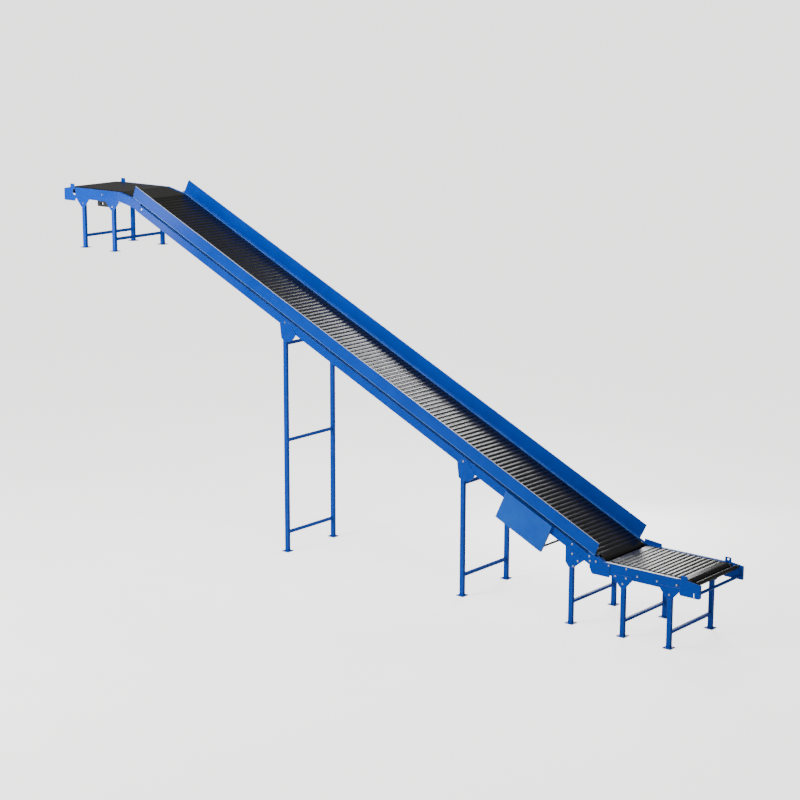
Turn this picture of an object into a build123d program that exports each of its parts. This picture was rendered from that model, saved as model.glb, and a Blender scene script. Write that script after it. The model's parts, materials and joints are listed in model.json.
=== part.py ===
"""Inclined belt conveyor: a level feeder, a 25 degree incline over rollers, a nose-over and a level discharge.

+X points to the infeed end, +Y to the far side and +Z up. The origin lies on the floor under the middle.
Outlines seen from the side are lists of (x, z) points. The bed line is the line along the tops of the side
rails, which is also the line that the bed rollers touch. "s" runs up the incline and "p" stands square to it.
"""

import os
from math import asin, atan2, cos, degrees, hypot, pi, radians, sin, tan

from build123d import *

os.makedirs("parts", exist_ok=True)

NEAR, FAR = -1, 1
SIDES = (NEAR, FAR)

# Overall layout
incline_angle = 25.0
rise = 4085.0
feeder_height = 943.0
feeder_length = 1445.0
discharge_length = 1465.0
nose_reach = 215.0
upper_floor_drop = 921.0

# Side rails, formed channels with their flanges turned in
rail_face = 529.0
rail_wall = 4.0
rail_flange = 45.0
rail_depth = 165.0
nose_depth = 140.0
groove_height, groove_inset = 46.0, 25.0
groove_start, groove_end_gap = 112.0, 290.0
rail_set_back = 250.0
plate_thickness = 6.0

# Side guards, flared outwards
guard_start = 150.0
guard_end_gap = 116.0
guard_height = 195.0
guard_overhang = 14.0
guard_flare = 14.0
guard_lip = 9.0
guard_wall = 3.0
guard_foot = 38.0
guard_sections = 3
seam = 1.5

# Rollers, pulleys and belts
running_gap = 0.3
fit_gap = 0.05
bed_roller_radius = 24.0
roller_side_gap = 14.0
axle_radius = 6.0
incline_pitch = 74.0
feeder_pitch = 80.0
end_pulley_radius = 50.0
pulley_shaft_radius = 15.0
end_roller_radius = 28.0
end_roller_shaft = 8.0
end_roller_drop = 13.0
belt_margin = 20.0
belt_thickness = 5.0
tail_pulley_s = 60.0
feeder_head_reach = 55.0
feeder_tail_set_back = 211.0
end_roller_set_back = 94.0
head_pulley_set_back = 124.0
idler_stations = (2400.0, 4700.0, 7000.0)

# Centre drive, hung under the incline
drive_s = 1400.0
drive_drop = 300.0
drive_radius = 90.0
drive_shaft_radius = 20.0
snub_radius = 35.0
snub_shaft_radius = 10.0
middle_snub_drop = 200.0
take_up_radius = 60.0
take_up_drop = 330.0
take_up_travel = 60.0
drive_plate_low = 440.0
drive_plate_high = 121.0
drive_plate_span = (890.0, 1680.0)
tie_radius = 15.0
motor_s = 1600.0
motor_drop = 375.0
motor_radius = 70.0
motor_length = 270.0
gearbox_size = (140.0, 130.0)
gearbox_length = 148.0
output_shaft_radius = 14.0
sprocket_gap = 11.0
sprocket_width = 12.0
drive_sprocket_radius = 95.0
motor_sprocket_radius = 48.0
tooth_height = 5.0
tooth_pitch = 25.4
chain_height = 10.0
transfer_width = 8.0
transfer_sprocket_radius = 34.0
hood_span = (864.0, 1690.0)
hood_high, hood_low = 43.0, 458.0
hood_depth = 37.0
hood_wall = 3.0

# Bearings and end brackets
bearing_size = 60.0
bearing_width = 18.0
small_bearing_size = 40.0
infeed_bracket_length, discharge_bracket_length = 302.0, 260.0
bracket_above, bracket_below = 2.0, 43.0
bracket_nose_drop = 22.0
bracket_flange = 30.0
ear_width, ear_height = 90.0, 58.0
eye_radius = 14.0
notch_start = 201.0
cross_tube_radius = 21.0
cross_tube_set_back = 51.0
cross_tube_drop = 153.0

# Supports: the distance of each from the end it is nearest to, and the legs
infeed_supports = (446.0, 1146.0, 1955.0, 3763.0, 7014.0)
discharge_supports = (1095.0, 424.0)
leg_x, leg_y, leg_wall = 60.0, 50.0, 3.0
foot_size, foot_thickness = 124.0, 8.0
anchor_spacing, anchor_radius = 90.0, 7.0
bar_size = 40.0
bar_heights = {1: (205.0,), 2: (205.0,), 3: (295.0,), 4: (290.0,), 5: (290.0, 1675.0), 6: (186.0,), 7: (186.0,)}
top_bar_drop = 250.0
gusset_half, gusset_foot, gusset_lap, gusset_drop = 140.0, 36.0, 45.0, 125.0

bolt_radius, bolt_head, washer_radius, washer_height = 10.0, 7.0, 14.0, 2.0

# Worked out from the values above
slope = radians(incline_angle)
incline_length = rise / sin(slope)
overall_length = feeder_length + rise / tan(slope) + discharge_length
infeed_x = overall_length / 2
foot_x = infeed_x - feeder_length
crest_x = foot_x - rise / tan(slope)
outfeed_x = crest_x - discharge_length
discharge_height = feeder_height + rise
upper_floor = discharge_height - upper_floor_drop
infeed_rail_x = infeed_x - rail_set_back
outfeed_rail_x = outfeed_x + rail_set_back
roller_axle_end = rail_face - rail_wall - fit_gap
groove_face = rail_face - groove_inset
drive_plate_face = rail_face - rail_flange
drive_plate_inner = drive_plate_face - plate_thickness
roller_face = 2 * (drive_plate_face - roller_side_gap)
belt_width = roller_face - 2 * belt_margin
transfer_plane = drive_plate_face - roller_side_gap / 2
sprocket_plane = rail_face + sprocket_gap + sprocket_width / 2
hood_face = rail_face + hood_depth
leg_centre = rail_face - leg_y / 2
return_level = 2 * end_pulley_radius + running_gap
idler_drop = return_level + belt_thickness + running_gap + bed_roller_radius


def from_line(origin, angle, s, p):
    """The point s along a line that climbs to the left at angle, and p square above it."""
    x, z = origin
    return x - s * cos(angle) + p * sin(angle), z + s * sin(angle) + p * cos(angle)


def on_slope(s, p):
    """A point of the incline, from the foot of its bed line."""
    return from_line((foot_x, feeder_height), slope, s, p)


nose_low = on_slope(incline_length - nose_reach, 0)
nose_high = (crest_x - nose_reach, discharge_height)
bed_line = [
    (infeed_rail_x, feeder_height),
    (foot_x, feeder_height),
    nose_low,
    nose_high,
    (outfeed_rail_x, discharge_height),
]


def on_nose(s, p):
    """A point of the nose-over, from the low end of its bed line."""
    return from_line(nose_low, slope / 2, s, p)


def dropped(depth):
    """The bed line moved down square to itself by depth, mitred at its bends."""
    heading = [atan2(b[1] - a[1], b[0] - a[0]) for a, b in zip(bed_line, bed_line[1:])]
    points = []
    for i, (x, z) in enumerate(bed_line):
        before, after = heading[max(i - 1, 0)], heading[min(i, len(heading) - 1)]
        mitre = (before + after) / 2
        reach = depth / cos((after - before) / 2)
        points.append((x - reach * sin(mitre), z + reach * cos(mitre)))
    return points


def strip(section, high, low):
    """The outline of one straight stretch of the bed, between two depths under the bed line."""
    above, below = dropped(high), dropped(low)
    return [above[section], above[section + 1], below[section + 1], below[section]]


def rail_bottom(x):
    """The height of the rails' lower edge under the incline at x."""
    return feeder_height + (foot_x - x) * tan(slope) - rail_depth / cos(slope)


def side_plane(y):
    """The upright plane at y whose own axes are +X and +Z."""
    return Plane(origin=(0, y, 0), x_dir=(1, 0, 0), z_dir=(0, -1, 0))


def outline_face(points, y):
    """A flat face with the given (x, z) outline at y."""
    with BuildSketch(side_plane(y)) as sketch:
        with BuildLine():
            Polyline(*points, close=True)
        make_face()
    return sketch.sketch


def add_plate(points, outer, thickness, side, mode=Mode.ADD):
    """A plate whose outer face stands outer from the middle, growing inwards by thickness."""
    extrude(outline_face(points, side * outer), amount=side * thickness, mode=mode)


def add_pin(centre, radius, y_from, y_to, mode=Mode.ADD):
    """A round bar along Y between two places."""
    x, z = centre
    with Locations((x, (y_from + y_to) / 2, z)):
        Cylinder(radius, abs(y_to - y_from), rotation=(90, 0, 0), mode=mode)


def save(builder, name):
    """Label a finished piece and write it."""
    builder.part.label = name
    export_step(builder.part, f"parts/{name}.step")


def rectangle(s_from, s_to, p_from, p_to):
    """A rectangle that lies along the incline, as (x, z) points."""
    return [on_slope(s_from, p_from), on_slope(s_to, p_from), on_slope(s_to, p_to), on_slope(s_from, p_to)]


# ---- Side rails ----
def add_rail(section, depth, side):
    """One formed channel: its web outside and its two flanges turned in."""
    add_plate(strip(section, 0, depth), rail_face, rail_wall, side)
    add_plate(strip(section, 0, rail_wall), rail_face, rail_flange, side)
    add_plate(strip(section, depth - rail_wall, depth), rail_face, rail_flange, side)


slot_centre = (infeed_x - 328, feeder_height - 87)
for side, side_name in zip(SIDES, ("near", "far")):
    with BuildPart() as feeder_rail:
        add_rail(0, rail_depth, side)
        with BuildSketch(side_plane(side * rail_face)):
            with Locations(slot_centre):
                SlotOverall(92, 16)
        extrude(amount=side * rail_wall, mode=Mode.SUBTRACT)
    save(feeder_rail, f"feeder_rail_{side_name}")

    with BuildPart() as incline_rail:
        add_rail(1, rail_depth, side)
        span = (groove_start, incline_length - groove_end_gap)
        add_plate(rectangle(*span, -groove_height, rail_wall), rail_face, groove_inset, side, mode=Mode.SUBTRACT)
        add_plate(rectangle(*span, -groove_height - rail_wall, 0), groove_face, rail_wall, side)
        ledge = rectangle(*span, -groove_height - rail_wall, -groove_height)
        add_plate(ledge, rail_face, groove_inset + rail_wall, side)
    save(incline_rail, f"incline_rail_{side_name}")

with BuildPart() as nose_rails:
    for side in SIDES:
        add_rail(2, nose_depth, side)
save(nose_rails, "nose_rails")

with BuildPart() as discharge_rails:
    for side in SIDES:
        add_rail(3, rail_depth, side)
save(discharge_rails, "discharge_rails")

# ---- Plates that join the sections ----
plate_face = rail_face + plate_thickness
joint_near = [
    on_slope(255, -5),
    (foot_x - 219, feeder_height - 108),
    (foot_x - 177, feeder_height - 191),
    (foot_x + 94, feeder_height - 191),
    (foot_x + 101, feeder_height - 5),
    (foot_x - 2, feeder_height - 5),
]
joint_far = joint_near[:4] + [
    (foot_x + 101, feeder_height - 5),
    (foot_x + 207, feeder_height - 5),
    (foot_x + 207, feeder_height + 38),
    (foot_x - 60, feeder_height + 66),
    (foot_x - 60, feeder_height + 25),
]
with BuildPart() as joint_plates:
    add_plate(joint_near, plate_face, plate_thickness, NEAR)
    add_plate(joint_far, plate_face, plate_thickness, FAR)
save(joint_plates, "joint_plates")

splice = [
    on_nose(205, -12),
    on_nose(0, -12),
    on_slope(incline_length - nose_reach - 82, -12),
    on_slope(incline_length - nose_reach - 82, -135),
    on_nose(0, -150),
    on_nose(205, -132),
]
with BuildPart() as splice_plates:
    for side in SIDES:
        add_plate(splice, rail_face + 4, 4, side)
save(splice_plates, "splice_plates")

# ---- Side guards ----
guard_length = incline_length - guard_end_gap - guard_start
section_length = guard_length / guard_sections
up_slope = (-cos(slope), 0, sin(slope))
for side, side_name in zip(SIDES, ("near", "far")):
    root = rail_face + guard_overhang
    foot = rail_face - guard_foot
    top = root + guard_flare
    profile = [
        (foot, 0),
        (root, 0),
        (top, guard_height - guard_wall),
        (top + guard_lip, guard_height - guard_wall),
        (top + guard_lip, guard_height),
        (top - guard_wall, guard_height),
        (root - guard_wall, guard_wall),
        (foot, guard_wall),
    ]
    with BuildPart() as side_guard:
        for i in range(guard_sections):
            x, z = on_slope(guard_start + i * section_length, 0)
            with BuildSketch(Plane(origin=(x, 0, z), x_dir=(0, -1, 0), z_dir=up_slope)):
                with BuildLine():
                    Polyline(*[(-side * across, up) for across, up in profile], close=True)
                make_face()
            extrude(amount=section_length - seam)
    save(side_guard, f"side_guard_{side_name}")

# ---- Cross braces, seated on the lower flanges ----
brace_inner = rail_face - rail_wall
brace_width, brace_depth = 40.0, 38.0
brace_stations = [450, 2000, 3100, 3900, 5400, 6200, 7700, 8500, 9200]
with BuildPart() as bed_cross_braces:
    for s in brace_stations:
        low = rail_wall - rail_depth
        outline = rectangle(s, s + brace_width, low, low + brace_depth)
        add_plate(outline, brace_inner, 2 * brace_inner, FAR)
    for x in (foot_x + 520, crest_x - 700):
        base = (feeder_height if x > 0 else discharge_height) - rail_depth + rail_wall
        outline = [(x, base), (x + brace_width, base), (x + brace_width, base + brace_depth), (x, base + brace_depth)]
        add_plate(outline, brace_inner, 2 * brace_inner, FAR)
save(bed_cross_braces, "bed_cross_braces")

# ---- Bed rollers ----
bed_roller = {}
for row_name, reach in (("level", roller_axle_end), ("incline", groove_face - rail_wall - fit_gap)):
    with BuildPart() as one_roller:
        Cylinder(bed_roller_radius, roller_face, rotation=(90, 0, 0))
        Cylinder(axle_radius, 2 * reach, rotation=(90, 0, 0))
    bed_roller[row_name] = one_roller.part


def row_between(first, last, pitch):
    """Evenly spaced places from first to last, no further apart than pitch."""
    gaps = max(1, int(abs(last - first) / pitch + 0.999))
    return [first + (last - first) * i / gaps for i in range(gaps + 1)]


clear_of_pulley = end_pulley_radius + bed_roller_radius + 4
feeder_head = (foot_x + feeder_head_reach, feeder_height - end_pulley_radius)
feeder_tail = (infeed_x - feeder_tail_set_back, feeder_height - end_pulley_radius)
tail = on_slope(tail_pulley_s, -end_pulley_radius)
head = (outfeed_x + head_pulley_set_back, discharge_height - end_pulley_radius)
end_roller_centre = (infeed_x - end_roller_set_back, feeder_height - end_roller_drop - end_roller_radius)
bend_low, bend_high = dropped(bed_roller_radius)[2:4]

feeder_row = [
    (x, feeder_height - bed_roller_radius)
    for x in row_between(feeder_head[0] + clear_of_pulley, feeder_tail[0] - clear_of_pulley, feeder_pitch)
]
nose_s = incline_length - nose_reach
incline_row = [
    on_slope(s, -bed_roller_radius)
    for s in row_between(tail_pulley_s + clear_of_pulley, nose_s - incline_pitch, incline_pitch)
]
nose_length = hypot(nose_high[0] - nose_low[0], nose_high[1] - nose_low[1])
discharge_row = [bend_low, bend_high]
discharge_row += [
    on_nose(s, -bed_roller_radius) for s in row_between(incline_pitch, nose_length - incline_pitch, incline_pitch)
]
discharge_row += [
    (x, discharge_height - bed_roller_radius)
    for x in row_between(bend_high[0] - incline_pitch, head[0] + clear_of_pulley, incline_pitch)
]
rows = {"feeder": feeder_row, "incline": incline_row, "discharge": discharge_row}
for name, row in rows.items():
    with BuildPart() as bed_rollers:
        with Locations(*[(x, 0, z) for x, z in row]):
            add(bed_roller["incline" if name == "incline" else "level"])
    save(bed_rollers, f"{name}_bed_rollers")

# ---- Belts ----
snub_side = drive_radius + belt_thickness + 2 * running_gap + snub_radius
middle_s = drive_s - snub_side
take_up_s = middle_s - (take_up_radius + belt_thickness + 2 * running_gap + snub_radius)
lower_s = take_up_s - (take_up_radius + belt_thickness + 2 * running_gap + snub_radius)
snub_drop = return_level + belt_thickness + running_gap + snub_radius
upper_snub = on_slope(drive_s + snub_side, -snub_drop)
middle_snub = on_slope(middle_s, -middle_snub_drop)
lower_snub = on_slope(lower_s, -snub_drop)
drive = on_slope(drive_s, -drive_drop)
take_up = on_slope(take_up_s, -take_up_drop)
idler_low, idler_high = dropped(idler_drop)[2:4]

INSIDE, OUTSIDE = 1, -1
incline_loop = [
    (tail, end_pulley_radius, INSIDE),
    (bend_low, bed_roller_radius, INSIDE),
    (bend_high, bed_roller_radius, INSIDE),
    (head, end_pulley_radius, INSIDE),
    (idler_high, bed_roller_radius, OUTSIDE),
    (idler_low, bed_roller_radius, OUTSIDE),
    (upper_snub, snub_radius, OUTSIDE),
    (drive, drive_radius, INSIDE),
    (middle_snub, snub_radius, OUTSIDE),
    (take_up, take_up_radius, INSIDE),
    (lower_snub, snub_radius, OUTSIDE),
]
feeder_loop = [(feeder_tail, end_pulley_radius, INSIDE), (feeder_head, end_pulley_radius, INSIDE)]


def draw_loop(wheels, gap, thickness, layer):
    """Draw the closed line of a band round wheels: layer 0 is its inner face, thickness its outer face.

    The band runs anticlockwise. A wheel inside the loop turns it left, and one outside turns it right.
    """
    reach = [side * (r + gap + (layer if side == INSIDE else thickness - layer)) for _, r, side in wheels]
    count = len(wheels)
    heading = []
    for i in range(count):
        (x0, z0), (x1, z1) = wheels[i][0], wheels[(i + 1) % count][0]
        lean = (reach[i] - reach[(i + 1) % count]) / hypot(x1 - x0, z1 - z0)
        heading.append(atan2(z1 - z0, x1 - x0) + asin(lean))

    def touch(i, angle):
        (x, z), r = wheels[i][0], reach[i]
        return x + r * sin(angle), z - r * cos(angle)

    for i in range(count):
        before, after = heading[i - 1], heading[i]
        turn = (after - before) % (2 * pi)
        if wheels[i][2] == OUTSIDE:
            turn -= 2 * pi
        ThreePointArc(touch(i, before), touch(i, before + turn / 2), touch(i, after))
        Line(touch(i, after), touch((i + 1) % count, after))


def band_face(wheels, y, gap, thickness):
    """The side face of a band round wheels, at y."""
    with BuildSketch(side_plane(y)) as sketch:
        with BuildLine():
            draw_loop(wheels, gap, thickness, thickness)
        make_face()
        with BuildLine():
            draw_loop(wheels, gap, thickness, 0)
        make_face(mode=Mode.SUBTRACT)
    return sketch.sketch


with BuildPart() as incline_belt:
    extrude(band_face(incline_loop, belt_width / 2, running_gap, belt_thickness), amount=belt_width)
save(incline_belt, "incline_belt")

with BuildPart() as feeder_belt:
    extrude(band_face(feeder_loop, belt_width / 2, running_gap, belt_thickness), amount=belt_width)
save(feeder_belt, "feeder_belt")

# ---- Pulleys and rollers that turn, each with its welded shaft ----
shaft_end = rail_face - rail_wall - 5
bracket_shaft_end = rail_face - 5
plate_shaft_end = drive_plate_face - 0.5
turning = {
    "tail_pulley": (tail, end_pulley_radius, pulley_shaft_radius, shaft_end),
    "head_pulley": (head, end_pulley_radius, pulley_shaft_radius, bracket_shaft_end),
    "feeder_head_pulley": (feeder_head, end_pulley_radius, pulley_shaft_radius, shaft_end),
    "feeder_tail_pulley": (feeder_tail, end_pulley_radius, pulley_shaft_radius, bracket_shaft_end),
    "end_roller": (end_roller_centre, end_roller_radius, end_roller_shaft, bracket_shaft_end),
    "snub_roller_upper": (upper_snub, snub_radius, snub_shaft_radius, plate_shaft_end),
    "snub_roller_middle": (middle_snub, snub_radius, snub_shaft_radius, plate_shaft_end),
    "snub_roller_lower": (lower_snub, snub_radius, snub_shaft_radius, plate_shaft_end),
    "take_up_pulley": (take_up, take_up_radius, pulley_shaft_radius, drive_plate_face + bearing_width - 2),
}
idler_centres = [on_slope(s, -idler_drop) for s in idler_stations] + [idler_low, idler_high]
for i, centre in enumerate(idler_centres, start=1):
    turning[f"return_idler_{i}"] = (centre, bed_roller_radius, axle_radius, roller_axle_end)
for name, (centre, radius, shaft_radius, end) in turning.items():
    with BuildPart() as roller:
        add_pin(centre, radius, -roller_face / 2, roller_face / 2)
        add_pin(centre, shaft_radius, -end, end)
    save(roller, name)

sprocket_inner = sprocket_plane - sprocket_width / 2
sprocket_outer = sprocket_plane + sprocket_width / 2
with BuildPart() as drive_pulley:
    add_pin(drive, drive_radius, -roller_face / 2, roller_face / 2)
    add_pin(drive, drive_shaft_radius, -sprocket_outer, drive_plate_face + bearing_width - 2)
save(drive_pulley, "drive_pulley")


# ---- Sprockets and chains ----
def add_sprocket(centre, radius, bore, y_from, y_to):
    """A toothed wheel along Y, with its bore."""
    teeth = round(2 * pi * radius / tooth_pitch)
    add_pin(centre, radius, y_from, y_to)
    x, z = centre
    with BuildSketch(side_plane(y_to)) as crown:
        with Locations((x, z)):
            with PolarLocations(radius, teeth):
                Rectangle(2 * tooth_height, tooth_pitch * 0.4)
    extrude(crown.sketch, amount=y_to - y_from)
    add_pin(centre, bore, y_from, y_to, mode=Mode.SUBTRACT)


gearmotor = on_slope(motor_s, -motor_drop)
with BuildPart() as driven_sprocket:
    add_sprocket(drive, drive_sprocket_radius, drive_shaft_radius, -sprocket_outer, -sprocket_inner)
save(driven_sprocket, "driven_sprocket")

with BuildPart() as motor_sprocket:
    add_sprocket(gearmotor, motor_sprocket_radius, output_shaft_radius, -sprocket_outer, -sprocket_inner)
save(motor_sprocket, "motor_sprocket")

with BuildPart() as output_shaft:
    add_pin(gearmotor, output_shaft_radius, -sprocket_outer, -drive_plate_inner - running_gap)
save(output_shaft, "output_shaft")

chain_gap = tooth_height + 1
drive_wheels = [(drive, drive_sprocket_radius, INSIDE), (gearmotor, motor_sprocket_radius, INSIDE)]
with BuildPart() as drive_chain:
    extrude(band_face(drive_wheels, -sprocket_inner, chain_gap, chain_height), amount=sprocket_width)
save(drive_chain, "drive_chain")

transfer_inner = transfer_plane - transfer_width / 2
transfer_outer = transfer_plane + transfer_width / 2
for name, centre in (("tail_sprocket", tail), ("feeder_sprocket", feeder_head)):
    with BuildPart() as transfer_sprocket:
        add_sprocket(centre, transfer_sprocket_radius, pulley_shaft_radius, transfer_inner, transfer_outer)
    save(transfer_sprocket, name)

transfer_wheels = [(feeder_head, transfer_sprocket_radius, INSIDE), (tail, transfer_sprocket_radius, INSIDE)]
with BuildPart() as transfer_chain:
    band = band_face(transfer_wheels, transfer_outer, tooth_height + 0.5, 3)
    extrude(band, amount=transfer_outer - transfer_inner)
save(transfer_chain, "transfer_chain")

# ---- Centre drive frame ----
plate_from, plate_to = drive_plate_span
plate_outline = [
    on_slope(plate_from + 90, -drive_plate_high),
    on_slope(plate_to, -drive_plate_high),
    on_slope(plate_to, -drive_plate_low),
    on_slope(plate_from, -drive_plate_low),
    on_slope(plate_from, -drive_plate_high - 90),
]
tie_centres = [on_slope(plate_from + 20, 20 - drive_plate_low), on_slope(plate_to - 22, -drive_plate_high - 45)]
with BuildPart() as drive_side_plates:
    for side in SIDES:
        add_plate(plate_outline, drive_plate_face, plate_thickness, side)
        y_in, y_out = side * drive_plate_inner, side * drive_plate_face
        for centre in (upper_snub, middle_snub, lower_snub):
            add_pin(centre, snub_shaft_radius + fit_gap, y_in, y_out, mode=Mode.SUBTRACT)
        add_pin(drive, drive_shaft_radius + 4, y_in, y_out, mode=Mode.SUBTRACT)
        low, high = -take_up_drop - pulley_shaft_radius - 3, -take_up_drop + take_up_travel + pulley_shaft_radius + 3
        half = pulley_shaft_radius + 2
        slot = rectangle(take_up_s - half, take_up_s + half, low, high)
        add_plate(slot, drive_plate_face, plate_thickness, side, mode=Mode.SUBTRACT)
    add_pin(gearmotor, output_shaft_radius + 6, -drive_plate_inner, -drive_plate_face, mode=Mode.SUBTRACT)
save(drive_side_plates, "drive_side_plates")

with BuildPart() as drive_tie_bars:
    for centre in tie_centres:
        add_pin(centre, tie_radius, -drive_plate_inner, drive_plate_inner)
save(drive_tie_bars, "drive_tie_bars")

with BuildPart() as drive_bearings:
    for side in SIDES:
        half = bearing_size / 2
        block = rectangle(drive_s - half, drive_s + half, -drive_drop - half, -drive_drop + half)
        add_plate(block, drive_plate_face + bearing_width, bearing_width, side)
        y_from, y_to = side * drive_plate_face, side * (drive_plate_face + bearing_width)
        add_pin(drive, drive_shaft_radius + fit_gap, y_from, y_to, mode=Mode.SUBTRACT)
save(drive_bearings, "drive_bearings")

screw_radius = 6.0
carriage_half = 25.0
with BuildPart() as take_up_carriage:
    for side in SIDES:
        y_from, y_to = side * (drive_plate_face + 0.3), side * (drive_plate_face + bearing_width)
        low, high = -take_up_drop - carriage_half, -take_up_drop + carriage_half
        block = rectangle(take_up_s - carriage_half, take_up_s + carriage_half, low, high)
        add_plate(block, abs(y_to), abs(y_to - y_from), side)
        add_pin(take_up, pulley_shaft_radius + fit_gap, y_from, y_to, mode=Mode.SUBTRACT)
        x, z = on_slope(take_up_s, low)
        down_slope = Plane(origin=(x, (y_from + y_to) / 2, z), x_dir=(0, 1, 0), z_dir=(-sin(slope), 0, -cos(slope)))
        with BuildSketch(down_slope):
            Circle(screw_radius)
        extrude(amount=80)
save(take_up_carriage, "take_up_carriage")

half_x, half_z = gearbox_size[0] / 2, gearbox_size[1] / 2
gearbox_outline = rectangle(motor_s - half_x, motor_s + half_x, -motor_drop - half_z, -motor_drop + half_z)
gearbox_end = drive_plate_inner - gearbox_length
with BuildPart() as gearbox:
    add_plate(gearbox_outline, drive_plate_inner, gearbox_length, NEAR)
    chamfer(gearbox.edges().filter_by(Axis.Y), 10)
save(gearbox, "gearbox")

with BuildPart() as motor:
    add_pin(gearmotor, motor_radius, -gearbox_end, motor_length - gearbox_end)
    add_pin(gearmotor, motor_radius - 8, motor_length - gearbox_end, motor_length - gearbox_end + 40)
    fin_outline = rectangle(motor_s - 35, motor_s + 35, motor_radius - 12 - motor_drop, motor_radius + 30 - motor_drop)
    add_plate(fin_outline, gearbox_end - 60, 110, NEAR)
save(motor, "motor")

# ---- Chain guard over the drive ----
with BuildPart() as chain_guard:
    hood_back = rail_face
    add_plate(rectangle(*hood_span, -hood_low, -hood_high), hood_face, hood_face - hood_back, NEAR)
    pocket = rectangle(hood_span[0] + hood_wall, hood_span[1] - hood_wall, hood_wall - hood_low, -hood_wall - hood_high)
    add_plate(pocket, hood_face - hood_wall, hood_face - hood_wall - hood_back, NEAR, mode=Mode.SUBTRACT)
save(chain_guard, "chain_guard")


# ---- Bearings of the end pulleys ----
def add_bearing(centre, size, bore, outer, side):
    """A square bearing block with its outer face against a rail or bracket."""
    x, z = centre
    half = size / 2
    block = [(x - half, z - half), (x + half, z - half), (x + half, z + half), (x - half, z + half)]
    add_plate(block, outer, bearing_width, side)
    add_pin(centre, bore, side * outer, side * (outer - bearing_width), mode=Mode.SUBTRACT)


web_inner = rail_face - rail_wall
with BuildPart() as pulley_bearings:
    for side in SIDES:
        for centre in (tail, feeder_head):
            add_bearing(centre, bearing_size, pulley_shaft_radius + fit_gap, web_inner, side)
        for centre in (head, feeder_tail):
            add_bearing(centre, bearing_size, pulley_shaft_radius + fit_gap, rail_face, side)
        add_bearing(end_roller_centre, small_bearing_size, end_roller_shaft + fit_gap, rail_face, side)
save(pulley_bearings, "pulley_bearings")


# ---- End brackets ----
def bracket_outline(end_x, inward, height, length):
    """The side outline of an end bracket; inward is +1 or -1, towards the middle of the conveyor."""
    bottom = height - rail_depth - bracket_below
    shape = [
        (0, height - bracket_nose_drop),
        (0, bottom + 12),
        (12, bottom),
        (length - 20, bottom),
        (length, bottom + 20),
        (length, height - 70),
        (length - 18, height - 55),
        (length - 22, height + ear_height),
        (length - 22 - ear_width, height + ear_height),
        (length - 26 - ear_width, height + bracket_above),
    ]
    return [(end_x + inward * x, z) for x, z in shape]


def add_bracket(end_x, inward, height, length, side):
    """An end bracket: a side plate with an ear, and a flange across its end."""
    add_plate(bracket_outline(end_x, inward, height, length), plate_face, plate_thickness, side)
    bottom = height - rail_depth - bracket_below
    ends = sorted((end_x, end_x + inward * plate_thickness))
    flange = [(x, z) for x, z in zip((*ends, *ends[::-1]), (bottom + 12,) * 2 + (height - bracket_nose_drop,) * 2)]
    add_plate(flange, plate_face, bracket_flange, side)


with BuildPart() as infeed_brackets:
    for side in SIDES:
        add_bracket(infeed_x, -1, feeder_height, infeed_bracket_length, side)
    eye = (infeed_x - infeed_bracket_length + 22 + ear_width / 2, feeder_height + ear_height - 2 * eye_radius)
    add_pin(eye, eye_radius, rail_face, plate_face, mode=Mode.SUBTRACT)
    with BuildSketch(side_plane(NEAR * plate_face)):
        with Locations((infeed_x - 92, feeder_height - rail_depth - 5)):
            SlotOverall(62, 11, rotation=90)
    extrude(amount=NEAR * plate_thickness, mode=Mode.SUBTRACT)
save(infeed_brackets, "infeed_brackets")

with BuildPart() as discharge_brackets:
    for side in SIDES:
        add_bracket(outfeed_x, 1, discharge_height, discharge_bracket_length, side)
        low, high = discharge_height - 114, discharge_height - 24
        left, right = outfeed_x + notch_start, outfeed_x + discharge_bracket_length + 1
        notch = [(left, high), (left, low + 20), (left + 20, low), (right, low), (right, high)]
        add_plate(notch, plate_face, plate_thickness, side, mode=Mode.SUBTRACT)
save(discharge_brackets, "discharge_brackets")

with BuildPart() as infeed_cross_tube:
    tube_centre = (infeed_x - cross_tube_set_back, feeder_height - cross_tube_drop)
    add_pin(tube_centre, cross_tube_radius, -rail_face, rail_face)
    add_pin(tube_centre, cross_tube_radius - leg_wall, -rail_face, rail_face, mode=Mode.SUBTRACT)
save(infeed_cross_tube, "infeed_cross_tube")

# ---- Supports: two legs, their base plates and cross bars welded together ----
support_x = [infeed_x - d for d in infeed_supports] + [outfeed_x + d for d in discharge_supports]
leg_inner = leg_centre - leg_y / 2
SLOPED = (3, 4, 5)
for number, x in enumerate(support_x, start=1):
    ground = upper_floor if number > len(infeed_supports) else 0.0
    if number in SLOPED:
        leg_top = rail_bottom(x) - 60
        bars = list(bar_heights[number])
        if number > 3:
            bars.append(rail_bottom(x) - top_bar_drop)
    else:
        level = discharge_height if ground else feeder_height
        leg_top = level - rail_depth - 2
        bars = [ground + h for h in bar_heights[number]]
    with BuildPart() as support:
        for side in SIDES:
            with BuildSketch(Plane.XY.offset(ground)):
                with Locations((x, side * leg_centre)):
                    Rectangle(foot_size, foot_size)
                    with GridLocations(anchor_spacing, anchor_spacing, 2, 2):
                        Circle(anchor_radius, mode=Mode.SUBTRACT)
            extrude(amount=foot_thickness)
            with BuildSketch(Plane.XY.offset(ground + foot_thickness)):
                with Locations((x, side * leg_centre)):
                    Rectangle(leg_x, leg_y)
                    Rectangle(leg_x - 2 * leg_wall, leg_y - 2 * leg_wall, mode=Mode.SUBTRACT)
            extrude(amount=leg_top - ground - foot_thickness)
        for height in bars:
            with BuildSketch(Plane.XZ.offset(-leg_inner)):
                with Locations((x, height)):
                    Rectangle(bar_size, bar_size)
                    Rectangle(bar_size - 2 * leg_wall, bar_size - 2 * leg_wall, mode=Mode.SUBTRACT)
            extrude(amount=2 * leg_inner)
    save(support, f"support_{number}")

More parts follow.
